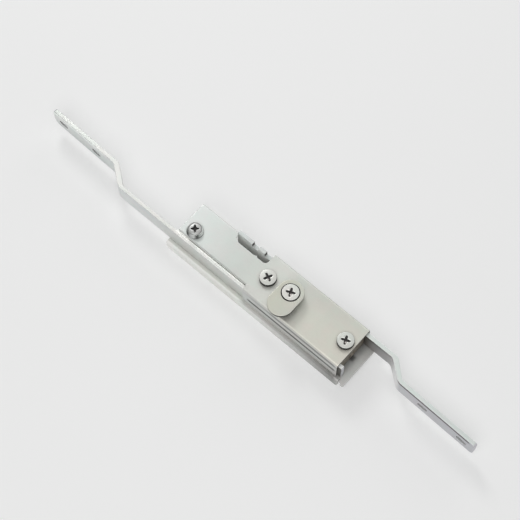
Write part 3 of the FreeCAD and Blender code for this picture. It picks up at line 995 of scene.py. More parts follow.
@dataclass
class Workshop:
    """Puts finished pieces on their bodies and reports them."""

    finishes: dict[str, bpy.types.Material] = field(default_factory=dict)

    def material(self, finish: Finish) -> bpy.types.Material:
        """Get the material of a finish.

        Args:
            finish: the finish.

        Returns:
            Its material, which is made once.
        """
        if finish.name not in self.finishes:
            self.finishes[finish.name] = finish.material()
        return self.finishes[finish.name]

    def fit(self, made: bmesh.types.BMesh, name: str, body: Body, slot: str, node: str, *finishes: Finish) -> None:
        """Finish a mesh and let it stand for a node.

        Args:
            made: the mesh in millimetres.
            name: name of the piece.
            body: the body that it rides on.
            slot: the record's material slot; not used.
            node: the node that it stands for.
            finishes: one finish per material index.
        """
        piece = finish_mesh(made, name)
        for finish in finishes:
            piece.data.materials.append(self.material(finish))
        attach(piece, body.value)
        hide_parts(node)
        LOG.info("%s: %d faces, stands for %s", name, len(piece.data.polygons), node)

    def dress(self, node: str, finish: Finish) -> None:
        """Give a carried-over node a finish.

        Args:
            node: the node.
            finish: its finish.
        """
        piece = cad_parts[node]
        piece.data.materials.clear()
        piece.data.materials.append(self.material(finish))
        LOG.info("%s: carried over", node)


# The finishes. The tones that change along X and the patches that multiply them are painted light and shade:
# painted shadows, shade under and between parts, painted highlights and painted reflections.
STEEL_GREY: Colour = (0.64, 0.665, 0.645)
DEEP_SHADE: Colour = (0.10, 0.095, 0.085)

# Painted light: lighter and cooler toward the tongue, warmer toward the right, slightly darker and cooler toward the
# back right.
SHEET = PlatedSheet(
    "plated_sheet", STEEL_GREY,
    painted_light_drift=((-60.0, (0.59, 0.615, 0.60)), (-8.0, (0.518, 0.54, 0.512)), (20.0, (0.59, 0.60, 0.56)),
           (50.0, (0.572, 0.565, 0.508)), (90.0, (0.585, 0.575, 0.51))),
    fades=(PaintedLightPatch((0.92, 0.945, 0.955), x=(10.0, 45.0), y=(-4.0, 15.0)),))
# Painted shade as dark lines along the pressed grooves, slightly darker high up at the left, and a painted highlight
# under the top bend.
WALL_SHEET = PlatedSheet(
    "plated_wall", STEEL_GREY, wear_and_highlight=0.3,
    painted_light_drift=((4.0, (0.635, 0.645, 0.63)), (40.0, (0.655, 0.66, 0.635)), (90.0, (0.645, 0.645, 0.625))),
    fades=(PaintedLightPatch(grey(0.40), x=(8.0, 11.0, 86.0, 88.5), z=(14.2, 15.6, 17.3, 18.5)),
           PaintedLightPatch(grey(0.60), x=(30.0, 50.0, 86.0, 88.5), z=(14.4, 15.8, 17.1, 18.3)),
           PaintedLightPatch(grey(0.78), x=(8.0, 16.0, 86.0, 88.5), z=(21.6, 23.0, 24.6, 26.4)),
           PaintedLightPatch(grey(0.56), x=(22.0, 36.0, 86.0, 88.5), z=(21.6, 23.0, 24.8, 26.8)),
           PaintedLightPatch(grey(0.88), x=(34.0, 24.0), z=(22.5, 24.0)),
           PaintedLightPatch(grey(1.16), z=(24.4, 25.6))))
# Painted light falling off toward the right end, painted shade on the top, along the front strip and near the right
# block, and a painted dark spot standing for a shaded hole at the block's foot.
BASE_SHEET = PlatedSheet(
    "plated_base", (0.80, 0.81, 0.78),
    painted_light_drift=((-65.0, (0.91, 0.92, 0.89)), (0.0, (0.85, 0.86, 0.82)), (20.0, (0.80, 0.805, 0.78)),
           (62.0, (0.57, 0.57, 0.555)), (88.0, (0.33, 0.33, 0.32)), (94.0, (0.55, 0.555, 0.535))),
    fades=(PaintedLightPatch((0.86, 0.86, 0.85), x=(88.0, 84.0), z=(7.0, 8.2)),
           PaintedLightPatch((0.62, 0.61, 0.61), x=(0.0, 8.0, 87.0, 91.0), y=(-17.4, -18.8), z=(6.6, 8.0)),
           PaintedLightPatch((0.86, 0.87, 0.88), x=(95.0, 89.5), y=(-13.0, -3.0)),
           PaintedLightPatch(grey(0.30), x=(86.6, 87.8, 89.6, 92.2), y=(-3.2, -0.9, 0.9, 3.2))))
# Painted highlight on the upper part toward the tip, painted shade on the lower part over the base, and painted shade
# of the gap at the right end.
LEFT_FACE = PlatedSheet(
    "plated_left_face", STEEL_GREY, grain=Pattern.DRAWN, wear_and_highlight=0.35,
    painted_light_drift=((-190.0, (0.765, 0.795, 0.775)), (-90.0, (0.755, 0.775, 0.775)), (-50.0, (0.71, 0.725, 0.695)),
           (88.2, (0.67, 0.68, 0.66)), (89.2, DEEP_SHADE), (93.0, DEEP_SHADE)),
    fades=(PaintedLightPatch(grey(0.84), x=(-72.0, -60.0), z=(22.5, 9.5)),
           PaintedLightPatch((1.26, 1.26, 1.25), x=(-128.0, -145.0), z=(19.5, 23.5)),
           PaintedLightPatch((0.86, 0.87, 0.88), x=(-128.0, -145.0), z=(18.0, 10.0))))
# Painted: darker toward the tip to temper its highlight, and painted light where the tongue shades the top's back part.
LEFT_EDGE = PlatedSheet(
    "plated_left_edge", STEEL_GREY, grain=Pattern.DRAWN, grime_and_shade=0.0, wear_and_highlight=0.3, depth=0.003,
    painted_light_drift=((-190.0, (0.46, 0.475, 0.455)), (-120.0, (0.55, 0.56, 0.54)), (-62.0, (0.60, 0.605, 0.58)),
           (-56.0, (0.665, 0.67, 0.645)), (2.0, (0.665, 0.67, 0.645)), (90.0, (0.69, 0.69, 0.67))),
    fades=(PaintedLightPatch(grey(1.5), x=(-62.0, -56.0, 1.0, 4.0), y=(-14.5, -13.8)),))
# Painted shade where the rod leaves the cover, a painted highlight on the joggle, and a painted dark line along the top
# edge for its dark reflection.
RIGHT_FACE = PlatedSheet(
    "plated_right_face", STEEL_GREY, grain=Pattern.DRAWN,
    painted_light_drift=((40.0, (0.42, 0.43, 0.41)), (90.0, (0.12, 0.11, 0.095)), (96.0, (0.27, 0.265, 0.265)),
           (108.0, (0.37, 0.365, 0.37)), (113.0, (0.50, 0.495, 0.495)), (118.0, grey(0.90)), (124.0, grey(0.90)),
           (128.0, (0.59, 0.59, 0.615)), (192.0, (0.59, 0.59, 0.62))),
    fades=(PaintedLightPatch((0.12, 0.10, 0.09), x=(122.0, 127.5, 186.0, 188.5), z=(21.3, 22.0, 23.4, 24.1)),
           PaintedLightPatch((0.68, 0.68, 0.65), x=(90.0, 94.0, 109.0, 113.0), z=(19.5, 22.8))))
# Painted light that changes along X.
RIGHT_EDGE = PlatedSheet(
    "plated_right_edge", STEEL_GREY, grain=Pattern.DRAWN, grime_and_shade=0.15,
    painted_light_drift=((-30.0, (0.52, 0.545, 0.535)), (40.0, (0.54, 0.565, 0.545)), (90.0, (0.64, 0.68, 0.655)),
           (192.0, (0.58, 0.62, 0.60))))
# A lit copy of the rod's front: painted light where it shows through the cover's cut-out.
RACK_FACE_PAINTED_LIGHT = PlatedSheet(
    "plated_rack_face_painted_light", (0.94, 0.96, 0.93), metallic=0.0, grain=Pattern.DRAWN, grime_and_shade=0.0, lean=0.9)
BACK_FACE = PlatedSheet("plated_back_face", (0.63, 0.65, 0.635), grain=Pattern.DRAWN)
# Painted light that changes slightly along X.
LEVER_STEEL = PlatedSheet(
    "plated_lever", (0.50, 0.51, 0.435), painted_light_drift=((22.0, (0.50, 0.51, 0.435)), (43.0, (0.515, 0.52, 0.465))))
# Painted light on the tongue's edges and painted shade that darkens toward the right end.
CUT_EDGE = PlatedSheet(
    "cut_edge", (0.46, 0.47, 0.46), roughness=0.5, grime_and_shade=0.1, wear_and_highlight=0.12, depth=0.004,
    painted_light_drift=((-60.0, (0.80, 0.81, 0.79)), (2.0, (0.78, 0.79, 0.77)), (20.0, (0.42, 0.42, 0.41)),
           (86.0, (0.14, 0.13, 0.115)), (90.0, (0.09, 0.085, 0.075))))
# Painted light, brighter toward the left.
BASE_EDGE = PlatedSheet(
    "base_cut_edge", (0.62, 0.63, 0.60), roughness=0.5, depth=0.004,
    painted_light_drift=((-66.0, (0.82, 0.83, 0.81)), (-50.0, (0.70, 0.71, 0.69)), (90.0, (0.50, 0.50, 0.48))))
ROD_END = PlatedSheet("rod_end", (0.57, 0.57, 0.60), roughness=0.5)
# Painted shade: the notch walls and the slot walls are darkened as shade.
NOTCH_WALL_SHADE = PlatedSheet("notch_wall_painted_shade", (0.13, 0.125, 0.12), roughness=0.55, wear_and_highlight=0.2)
SLOT_WALL_SHADE = PlatedSheet("slot_wall_painted_shade", grey(0.36), roughness=0.55, wear_and_highlight=0.1)
BLOCK_IRON = Grainy("sintered_block", (0.20, 0.175, 0.14), metallic=0.35, roughness=0.5, marks=0.35, wear_and_highlight=0.12)
POCKET = Grainy("pocket_shade", (0.028, 0.026, 0.026), metallic=0.2, roughness=0.6, marks=0.3, wear_and_highlight=0.0)


def cut_edge(_: Vector, normal: Vector) -> int:
    """Cut edge or face of a flat blank."""
    return SheetSkin.CUT if abs(normal.z) < 0.5 else SheetSkin.FACE


@dataclass
class BasePlate:
    """A channel with turned-down rims, relief notches at its right end, and holes for what is fixed in it."""

    ends: Point = (-65.7, 97.5)
    half: float = 20.1
    thickness: float = 2.0
    bend: float = 2.6
    rim_end: float = 92.3
    relief: float = 2.6
    neck: float = 18.7
    slit: float = 0.3
    slit_depth: float = 0.4
    bush_hole: float = 9.0
    post_hole: float = 3.0
    rivet_x: Point = (11.15, 81.3)
    rivet_y: float = 7.6
    rivet_hole: float = 2.0
    edge: float = 0.25

    @cached_property
    def route(self) -> Route:
        """Middle line of the sheet, seen from the end.

        Returns:
            The line from rim to rim.
        """
        mid = self.thickness / 2
        side, level = self.half - mid, BASE_TOP - mid
        return Route([(-side, 0), (-side, level), (side, level), (side, 0)], self.bend - mid)

    def build(self, shop: Workshop) -> None:
        """Build the plate."""
        shop.fit(self.sheet(), "case_base", Body.CASE, "case_sheet", "base_plate", BASE_SHEET, BASE_EDGE)

    def outline(self) -> list[Point]:
        """Outline of the blank.

        Returns:
            Its points, with X and the way round the rims as the two axes.
        """
        half = self.route.length / 2
        left, right = self.ends
        end, free, cut = self.rim_end, self.rim_end + self.relief, self.rim_end + self.slit
        inner = self.half - self.bend - self.slit_depth
        upper = [(end, half, 1.5), (left, half, 3.0)]
        lower = [(left, -half, 3.0), (end, -half, 1.5)]
        gap = [(end, inner, 0.1), (cut, inner, 0.1), (cut, self.neck, 0.2),
               (free, self.neck, 0.3), (free, self.half, 0.3), (right, self.half, 1.2)]
        return rounded(lower + [(x, -y, r) for x, y, r in gap] + gap[::-1] + upper)

    def wrap(self, spot: Vector) -> Place:
        """Lay a point round the rims, except at the flat end.

        Args:
            spot: the point on the flat blank.

        Returns:
            Where it goes.
        """
        if spot.x > self.rim_end + self.slit / 2:
            return (spot.x, spot.y, BASE_TOP - self.thickness / 2 + spot.z)
        return (spot.x, *self.route.at(spot.y + self.route.length / 2, spot.z))

    def sheet(self) -> bmesh.types.BMesh:
        """Cut and fold the sheet.

        Returns:
            Its mesh.
        """
        holes = [ring(AXIS, self.bush_hole, 64), ring(TONGUE_POST, self.post_hole, 32)]
        holes += [ring((x, y), self.rivet_hole, 24) for x in self.rivet_x for y in (-self.rivet_y, self.rivet_y)]
        strips = [run - self.route.length / 2 for run in self.route.creases(8)]
        blank = Blank(self.outline(), holes, self.thickness, self.edge)
        return blank.folded([self.rim_end + self.slit / 2], strips, self.wrap, cut_edge)


@dataclass
class Cover:
    """One bent sheet: a wide part with grooved walls, and a flat tongue with a lip and a two-lobed cut-out.

    Cut holds the X of the cut-out's far end and of its cusp, and the Y of its floor. Cut_overlap is how far its two
    lobes run into each other, and cut_far how far its far corner slants, with a place on the edge beyond it. Overlap
    is how far the tongue reaches over the front, where its lip ends at lip_foot and fades out over lip_fade.
    """

    ends: Point = (4.6, 89.1)
    tongue: Point = (-58.5, 12.35)
    half: float = 17.5
    thickness: float = 1.2
    bend: float = 2.2
    foot: float = 8.6
    cut: Place = (-24.5, -4.7, 7.0)
    cut_radius: float = 3.2
    cut_overlap: float = 0.9
    cut_far: Point = (1.09, 9.0)
    bush_hole: float = 7.5
    screw_hole: float = 3.3
    overlap: float = 0.55
    lip_foot: float = 24.75
    lip_bend: float = 0.65
    lip_fade: float = 1.6
    grooves: tuple[float, ...] = (16.45, 23.65)
    groove_span: Point = (8.2, 88.2)
    groove_fall: float = 1.2
    groove_half: float = 1.5
    groove_depth: float = 0.4
    wall_margin: float = 1.0
    edge: float = 0.2

    @cached_property
    def route(self) -> Route:
        """Middle line of the wide part, seen from the end.

        Returns:
            The line from foot to foot.
        """
        mid = self.thickness / 2
        side, level = self.half - mid, COVER_TOP - mid
        return Route([(-side, self.foot), (-side, level), (side, level), (side, self.foot)], self.bend - mid)

    @cached_property
    def lip(self) -> Route:
        """Middle line of the tongue, seen from the end.

        Returns:
            The line from the centre forward and down the lip.
        """
        mid = self.thickness / 2
        fold, level = mid - self.tongue[1] - self.overlap, COVER_TOP - mid
        return Route([(0.0, level), (fold, level), (fold, self.lip_foot)], self.lip_bend)

    def build(self, shop: Workshop) -> None:
        """Build the cover."""
        shop.fit(self.sheet(), "case_cover", Body.CASE, "cover_sheet", "cover", SHEET, CUT_EDGE, WALL_SHEET)

    def cut_out(self) -> list[Point]:
        """Two-lobed cut in the back edge of the tongue.

        Returns:
            Its points from the wide part to its far corner.
        """
        left, cusp, floor = self.cut
        r = self.cut_radius
        high = floor + r
        reach = r - self.cut_overlap
        swing = math.degrees(math.acos(reach / r))
        points = arc((self.ends[0] - r, high), r, 0, -90, 6)
        points += arc((cusp + reach, high), r, -90, -180 + swing, 6)
        points += arc((cusp - reach, high), r, -swing, -90, 6)
        points += arc((left + r, high), r, -90, -180, 6)
        wide, (slant, beyond) = self.tongue[1], self.cut_far
        return points + rounded([(left, high, 0.0), (left - slant, wide, 0.5), (left - beyond, wide, 0.0)])[1:-1]

    def outline(self) -> list[Point]:
        """Outline of the blank.

        Returns:
            Its points, with X and the way round the bends as the two axes.
        """
        half = self.route.length / 2
        left, right = self.ends
        tip, wide = self.tongue
        front = -self.lip.length
        corners = [(tip, wide, 2.0), (tip, front, 0.8), (left, front, 0.3), (left, -half, 3.2),
                   (right, -half, 1.2), (right, half, 1.2), (left, half, 3.2), (left, wide + 2, 0.0)]
        return rounded(corners) + self.cut_out()

    def wrap(self, spot: Vector) -> Place:
        """Lay a point round the bends, or down the lip, and press in the grooves outside the walls.

        Args:
            spot: the point on the flat blank.

        Returns:
            Where it goes.
        """
        left = self.ends[0]
        x, (y, z) = spot.x, self.route.at(spot.y + self.route.length / 2, spot.z)
        if x < left and y < 0:
            bent = Vector(self.lip.at(-spot.y, -spot.z))
            return (x, *Vector((y, z)).lerp(bent, eased((left - x) / self.lip_fade)))
        if spot.z > 0 and abs(spot.y) > self.half:
            start, stop = self.groove_span
            ends = min(1.0, max(0.0, (x - start) / self.groove_fall), max(0.0, (stop - x) / self.groove_fall))
            for height in self.grooves:
                press = eased(1 - abs(z - height) / self.groove_half)
                y -= math.copysign(self.groove_depth * ends * press, y)
        return (x, y, z)

    def skin(self, middle: Vector, normal: Vector) -> int:
        """Tell bare cut edges and the lip, walls and the top apart.

        Args:
            middle: a face's middle on the flat blank.
            normal: its normal there.

        Returns:
            Its material index.
        """
        if middle.x < self.ends[0] and middle.y < -self.lip.runs[2].start:
            return SheetSkin.CUT
        wall = self.route.length / 2 - (COVER_TOP - self.bend - self.foot) - self.wall_margin
        outer = middle.z > self.thickness * 0.3 and abs(middle.y) > wall
        return SheetSkin.WALL if outer and normal.z > 0.5 else cut_edge(middle, normal)

    def sheet(self) -> bmesh.types.BMesh:
        """Cut and fold the sheet.

        Returns:
            Its mesh.
        """
        half = self.route.length / 2
        holes = [ring(AXIS, self.bush_hole, 64), ring(TONGUE_POST, self.screw_hole, 32)]
        holes += [ring((x, 0), self.screw_hole, 32) for x in PAN_SCREW_X]
        strips = [run - half for run in self.route.creases(8)] + [-run for run in self.lip.creases(5)]
        for height in self.grooves:
            for step in range(-4, 5):
                run = height - self.foot + step * self.groove_half / 4
                strips += [run - half, half - run]
        start, stop = self.groove_span
        ends = [start, start + self.groove_fall, stop - self.groove_fall, stop]
        ends += [self.ends[0] - self.lip_fade * step / 4 for step in range(5)]
        blank = Blank(self.outline(), holes, self.thickness, self.edge)
        return blank.folded(sorted(ends), sorted(strips), self.wrap, self.skin)


@dataclass
class Rod:
    """A flat rod on edge with a joggle, rack notches and two slots.

    Corners are those of its line seen from above. Notches and slots are places along X, and tip_cuts are the radii of
    the tip's upper and lower corner. Swell is the extra thickness behind the two ends of the slanted part, where the
    rod is fuller than its bar. Up to the distance rack_shown along its line the front takes a lit copy of its finish,
    painted light where it shows through the cover's cut-out.
    """

    body: Body
    corners: list[Point]
    notches: list[float]
    slots: Point
    tip_cuts: Point
    face: Finish
    front_edge: Finish
    swell: Point
    rack_shown: float = 0.0
    low: float = 8.7
    height: float = 15.9
    thickness: float = 3.0
    bend: float = 7.0
    end_radius: float = 0.6
    notch: Point = (5.5, 3.6)
    notch_radii: Point = (0.25, 0.5)
    slot_up: float = 6.8
    slot_size: Point = (8.2, 4.2)
    slot_margin: float = 0.1
    end_zone: float = 2.0
    edge: float = 0.3

    @cached_property
    def route(self) -> Route:
        """The rod's line seen from above."""
        return Route(self.corners, self.bend)

    @cached_property
    def bends(self) -> list[Run]:
        """The two bends of the joggle."""
        return [run for run in self.route.runs if run.turn]

    @property
    def tip_first(self) -> bool:
        """Whether the line starts at the tip."""
        return self.body is Body.LEFT_ROD

    def build(self, shop: Workshop) -> None:
        """Build the rod.

        Args:
            shop: where the finished piece goes.
        """
        name = self.body.value
        skins = (self.face, NOTCH_WALL_SHADE, ROD_END, self.front_edge, SLOT_WALL_SHADE, RACK_FACE_PAINTED_LIGHT, BACK_FACE)
        shop.fit(self.bar(), f"{name}_bar", self.body, "rod_steel", name, *skins)

    def run(self, x: float) -> float:
        """Distance along the rod of a place on one of its two long straight parts.

        Args:
            x: the place along X.

        Returns:
            The distance from the start of the rod's line.
        """
        outer, kink, *_, inner = self.corners if self.tip_first else self.corners[::-1]
        stretch = math.dist(outer, kink) / abs(outer[0] - kink[0])
        near_tip = abs(x - outer[0]) < abs(x - inner[0])
        done = abs(x - outer[0]) * stretch if near_tip else self.route.length - abs(x - inner[0])
        return done if self.tip_first else self.route.length - done

    def outline(self) -> list[Point]:
        """Outline of the blank with its notches.

        Returns:
            Its points, with the distance along the rod and the height as the two axes.
        """
        top, end = self.low + self.height, self.route.length
        plain = (self.end_radius, self.end_radius)
        first, last = (self.tip_cuts, plain) if self.tip_first else (plain, self.tip_cuts)
        wide, deep = self.notch
        lip, root = self.notch_radii
        corners = [(0.0, self.low, first[1]), (end, self.low, last[1]), (end, top, last[0])]
        for run in (self.run(x) for x in sorted(self.notches, reverse=True)):
            right, left = run + wide / 2, run - wide / 2
            corners += [(right, top, lip), (right, top - deep, root), (left, top - deep, root), (left, top, lip)]
        return rounded([*corners, (0.0, top, first[0])])

    def fuller(self, run: float) -> float:
        """Extra thickness behind the slanted part.

        Args:
            run: distance along the rod.

        Returns:
            The thickness, which is 0 outside the joggle.
        """
        first, second = self.bends
        along = min(max((run - first.end) / (second.start - first.end), 0.0), 1.0)
        level = self.swell[0] + (self.swell[1] - self.swell[0]) * along
        return level * eased((run - first.start) / first.length) * eased((second.end - run) / second.length)

    def wrap(self, spot: Vector) -> Place:
        """Lay a point along the joggled line.

        Args:
            spot: the point on the flat blank.

        Returns:
            Where it goes.
        """
        deep = spot.z + self.fuller(spot.x) * max(spot.z, 0.0) / (self.thickness / 2)
        x, y = self.route.at(spot.x, deep)
        return (x, y, spot.y)

    def skin(self, middle: Vector, normal: Vector) -> int:
        """Tell wide faces, slots, notches, ends and narrow edges apart.

        Args:
            middle: a face's middle on the flat blank.
            normal: its normal there.

        Returns:
            Its material index.
        """
        facing = 0.6
        at_end = min(middle.x, self.route.length - middle.x) < self.end_zone
        if abs(normal.z) > facing:
            front = RodSkin.RACK if middle.x < self.rack_shown else RodSkin.FACE
            return front if normal.z < 0 else RodSkin.BACK
        if not at_end and abs(middle.y - self.low - self.slot_up) < self.slot_size[1] / 2 + self.slot_margin:
            return RodSkin.SLOT
        if abs(normal.x) > facing:
            return RodSkin.END if at_end else RodSkin.NOTCH
        return RodSkin.EDGE

    def bar(self) -> bmesh.types.BMesh:
        """Cut the bar and joggle it.

        Returns:
            Its mesh.
        """
        holes = [obround((self.run(x), self.low + self.slot_up), *self.slot_size) for x in self.slots]
        across = self.route.creases(10)
        if self.rack_shown:
            across = sorted([*across, self.rack_shown])
        return Blank(self.outline(), holes, self.thickness, self.edge).folded(across, [], self.wrap, self.skin)


@dataclass
class Screw:
    """A cross-recessed screw with a slightly crowned head.

    Shank is its radius and the height of its foot. Span, root, tip and depth are those of the recess, whose steps are
    (share of the span, share of the depth), mouth_drop how far its mouth lies under the top, and margins how far the
    top's rings keep from the brim and from the mouth. The recess is painted dark as shade, with a painted highlight on
    its
    floor: painted_glint_offset is how far from the axis it lies, painted_glint_gain how bright it is, and
    painted_glint_reach how far round that place it is full and how far round it ends.
    """

    name: str
    body: Body
    slot: str
    node: str
    centre: Point
    seat: float
    radius: float
    height: float
    rise: float
    edge: float
    turn: float
    shank: Point = (2.95, 13.4)
    tone: Colour = (0.575, 0.585, 0.55)
    span: float = 6.9
    root: float = 1.7
    tip: float = 1.75
    depth: float = 1.3
    recess_steps: tuple[Point, ...] = ((0.88, 0.4), (0.66, 0.75), (0.34, 1.0))
    mouth_drop: float = 0.1
    margins: Point = (0.3, 0.35)
    painted_glint_offset: float = 1.45
    painted_glint_gain: float = 24.0
    painted_glint_reach: Point = (0.45, 0.7)
    foot_cut: float = 0.5
    seat_cut: float = 0.15
    # Painted stripes on the head's side: dark as shade on the viewer's side, bright as reflections toward -X and +Y.
    side_painted_streaks: tuple[Point, ...] = (
        (0.0, 20.0), (0.10, 18.0), (0.18, 1.6), (0.25, 1.0), (0.50, 1.0), (0.57, 1.6), (0.65, 18.0), (1.0, 20.0))

    def build(self, shop: Workshop) -> None:
        """Build the screw with its recess and its side.

        Args:
            shop: where the finished piece goes.
        """
        top = Turned(f"{self.name}_steel", self.tone, roughness=0.4, grime_and_shade=0.5, reach=1.6, centre=self.centre)
        finishes = (top, self.recess_finish(), self.side_finish())
        levels = [*self.shank_rows(), *self.brim_rows(), *self.recess_rows()]
        solid = Skinned(levels, place=upright(*self.centre), angles=self.spokes())
        shop.fit(solid.mesh(), self.name, self.body, self.slot, self.node, *finishes)

    def side_finish(self) -> Finish:
        """Side of the head painted dark as shade, with painted reflections much brighter toward -X and toward +Y."""
        return Turned(f"{self.name}_side", (0.02, 0.02, 0.019), metallic=0.0, roughness=0.7, wear_and_highlight=0.04,
                      centre=self.centre, painted_streaks=self.side_painted_streaks)

    def recess_finish(self) -> Finish:
        """Recess painted dark as shade, with a painted highlight on its sloping floor on the side of the viewer.

        Returns:
            The finish.
        """
        full, none = self.painted_glint_reach
        spot = (place + self.painted_glint_offset * way for place, way in zip(self.centre, TOWARD_VIEWER))
        x, y = ((place - none, place - full, place + full, place + none) for place in spot)
        return Grainy(f"{self.name}_recess", (0.03, 0.028, 0.027), metallic=0.2, roughness=0.55, marks=0.3, wear_and_highlight=0.0,
                      fades=(PaintedLightPatch(grey(self.painted_glint_gain), x=x, y=y),))

    def spokes(self) -> list[float]:
        """Angles that hit the arms and the corners of the recess.

        Returns:
            The angles in degrees, in order.
        """
        corner = math.degrees(math.atan2(self.root, self.span)) * 1.6
        octant = [0.0, 2.5, 5.0, 7.5, 10.0, 12.0, corner, 21.5, 25.0, 29.0, 33.0, 37.0, 41.0, 45.0]
        angles = {self.turn + 90 * arm + side * a for arm in range(4) for a in octant for side in (-1, 1)}
        return sorted({round(a % 360, 4) for a in angles})

    def face(self) -> float:
        """Radius of the crowned top."""
        return self.radius

    def crown(self, r: float) -> float:
        """Height of the crowned top at a radius."""
        ball = (self.face() ** 2 + self.rise ** 2) / (2 * self.rise)
        return self.seat + self.height - ball + math.sqrt(ball * ball - min(r, self.face()) ** 2)

    def shank_rows(self) -> list[Level]:
        """The shank from its foot to the seat."""
        radius, foot = self.shank
        return [disc(radius - self.foot_cut, foot), disc(radius, foot + self.foot_cut), disc(radius, self.seat)]

    def brim_rows(self) -> list[Level]:
        """The head from the seat over its rounded brim.

        Returns:
            Its levels.
        """
        inner = self.radius - self.edge
        brim = self.crown(inner) - self.edge
        low = self.seat + self.seat_cut
        rows = [disc(self.radius - self.seat_cut, self.seat, HeadSkin.SIDE), disc(self.radius, low, HeadSkin.SIDE)]
        for step, t in enumerate(quarter()):
            height = max(low + self.seat_cut, brim + self.edge * math.sin(t))
            rows.append(disc(inner + self.edge * math.cos(t), height, HeadSkin.SIDE if step < 3 else HeadSkin.TOP))
        return rows

    def recess_rows(self) -> list[Level]:
        """The crowned top from the brim inwards, then down into the recess.

        Returns:
            Its levels.
        """
        top = self.seat + self.height
        outer = even(self.face() - self.edge - self.margins[0])
        mouth = self.arms(1.0)
        rows = [Level(self.blend(outer, mouth, share), self.crown) for share in (0.3, 0.65)]
        rows.append(Level(self.arms(1.05), self.crown))
        rows.append(Level(mouth, lambda r: self.crown(r) - self.mouth_drop, HeadSkin.RECESS_SHADE))
        for share, down in self.recess_steps:
            rows.append(Level(self.arms(share), even(top - self.depth * down), HeadSkin.RECESS_SHADE))
        return rows

    def arms(self, share: float) -> Profile:
        """Outline of the recess at a share of its span."""
        slim = 0.5 + share / 2
        return cross(self.span * share, self.root * slim, min(self.tip * slim, self.span * share * 0.8), self.turn)

    def blend(self, outer: Profile, inner: Profile, share: float) -> Profile:
        """Radius part of the way from one ring to another."""
        return lambda t: outer(t) * (1 - share) + (inner(t) + self.margins[1]) * share


@dataclass
class CollarScrew(Screw):
    """A tall bright screw whose head narrows upwards from a collar to a grooved top.

    Flare holds (radius, height over the seat, material index) from the collar to the groove round the top. Its
    RECESS_SHADE rows are painted dark as shade at the collar's foot and in the groove.
    """

    top_radius: float = 4.6
    flare: tuple[tuple[float, float, HeadSkin], ...] = (
        (6.0, 0.0, HeadSkin.RECESS_SHADE), (6.1, 0.12, HeadSkin.RECESS_SHADE), (6.08, 0.6, HeadSkin.SIDE),
        (5.7, 0.95, HeadSkin.SIDE), (5.35, 1.7, HeadSkin.SIDE), (5.2, 2.8, HeadSkin.SIDE), (5.12, 3.4, HeadSkin.SIDE),
        (5.0, 3.6, HeadSkin.TOP), (4.86, 3.62, HeadSkin.RECESS_SHADE), (4.82, 3.1, HeadSkin.RECESS_SHADE),
        (4.64, 3.1, HeadSkin.TOP))
    # Painted stripes of reflected light and of shade round the polished side.
    side_painted_streaks: tuple[Point, ...] = (
        (0.05, 0.6), (0.12, 0.12), (0.19, 0.10), (0.24, 0.45), (0.28, 0.62), (0.335, 0.72), (0.37, 0.40), (0.395, 0.14),
        (0.42, 0.12), (0.46, 0.60), (0.52, 0.95), (0.64, 1.0), (0.80, 0.5), (0.97, 0.7))

    def side_finish(self) -> Finish:
        """Polished side with painted stripes of reflected light and of shade."""
        return Turned(f"{self.name}_side", (0.84, 0.85, 0.84), metallic=0.85, roughness=0.24, wear_and_highlight=0.2,
                      centre=self.centre, painted_streaks=self.side_painted_streaks)

    def face(self) -> float:
        """Radius of the crowned top inside its groove."""
        return self.top_radius

    def brim_rows(self) -> list[Level]:
        """The collar, the narrowing side, and the groove round the top."""
        rows = [disc(radius, self.seat + up, skin) for radius, up, skin in self.flare]
        return rows + [disc(self.top_radius, self.crown(self.top_radius) - 0.05, HeadSkin.TOP)]


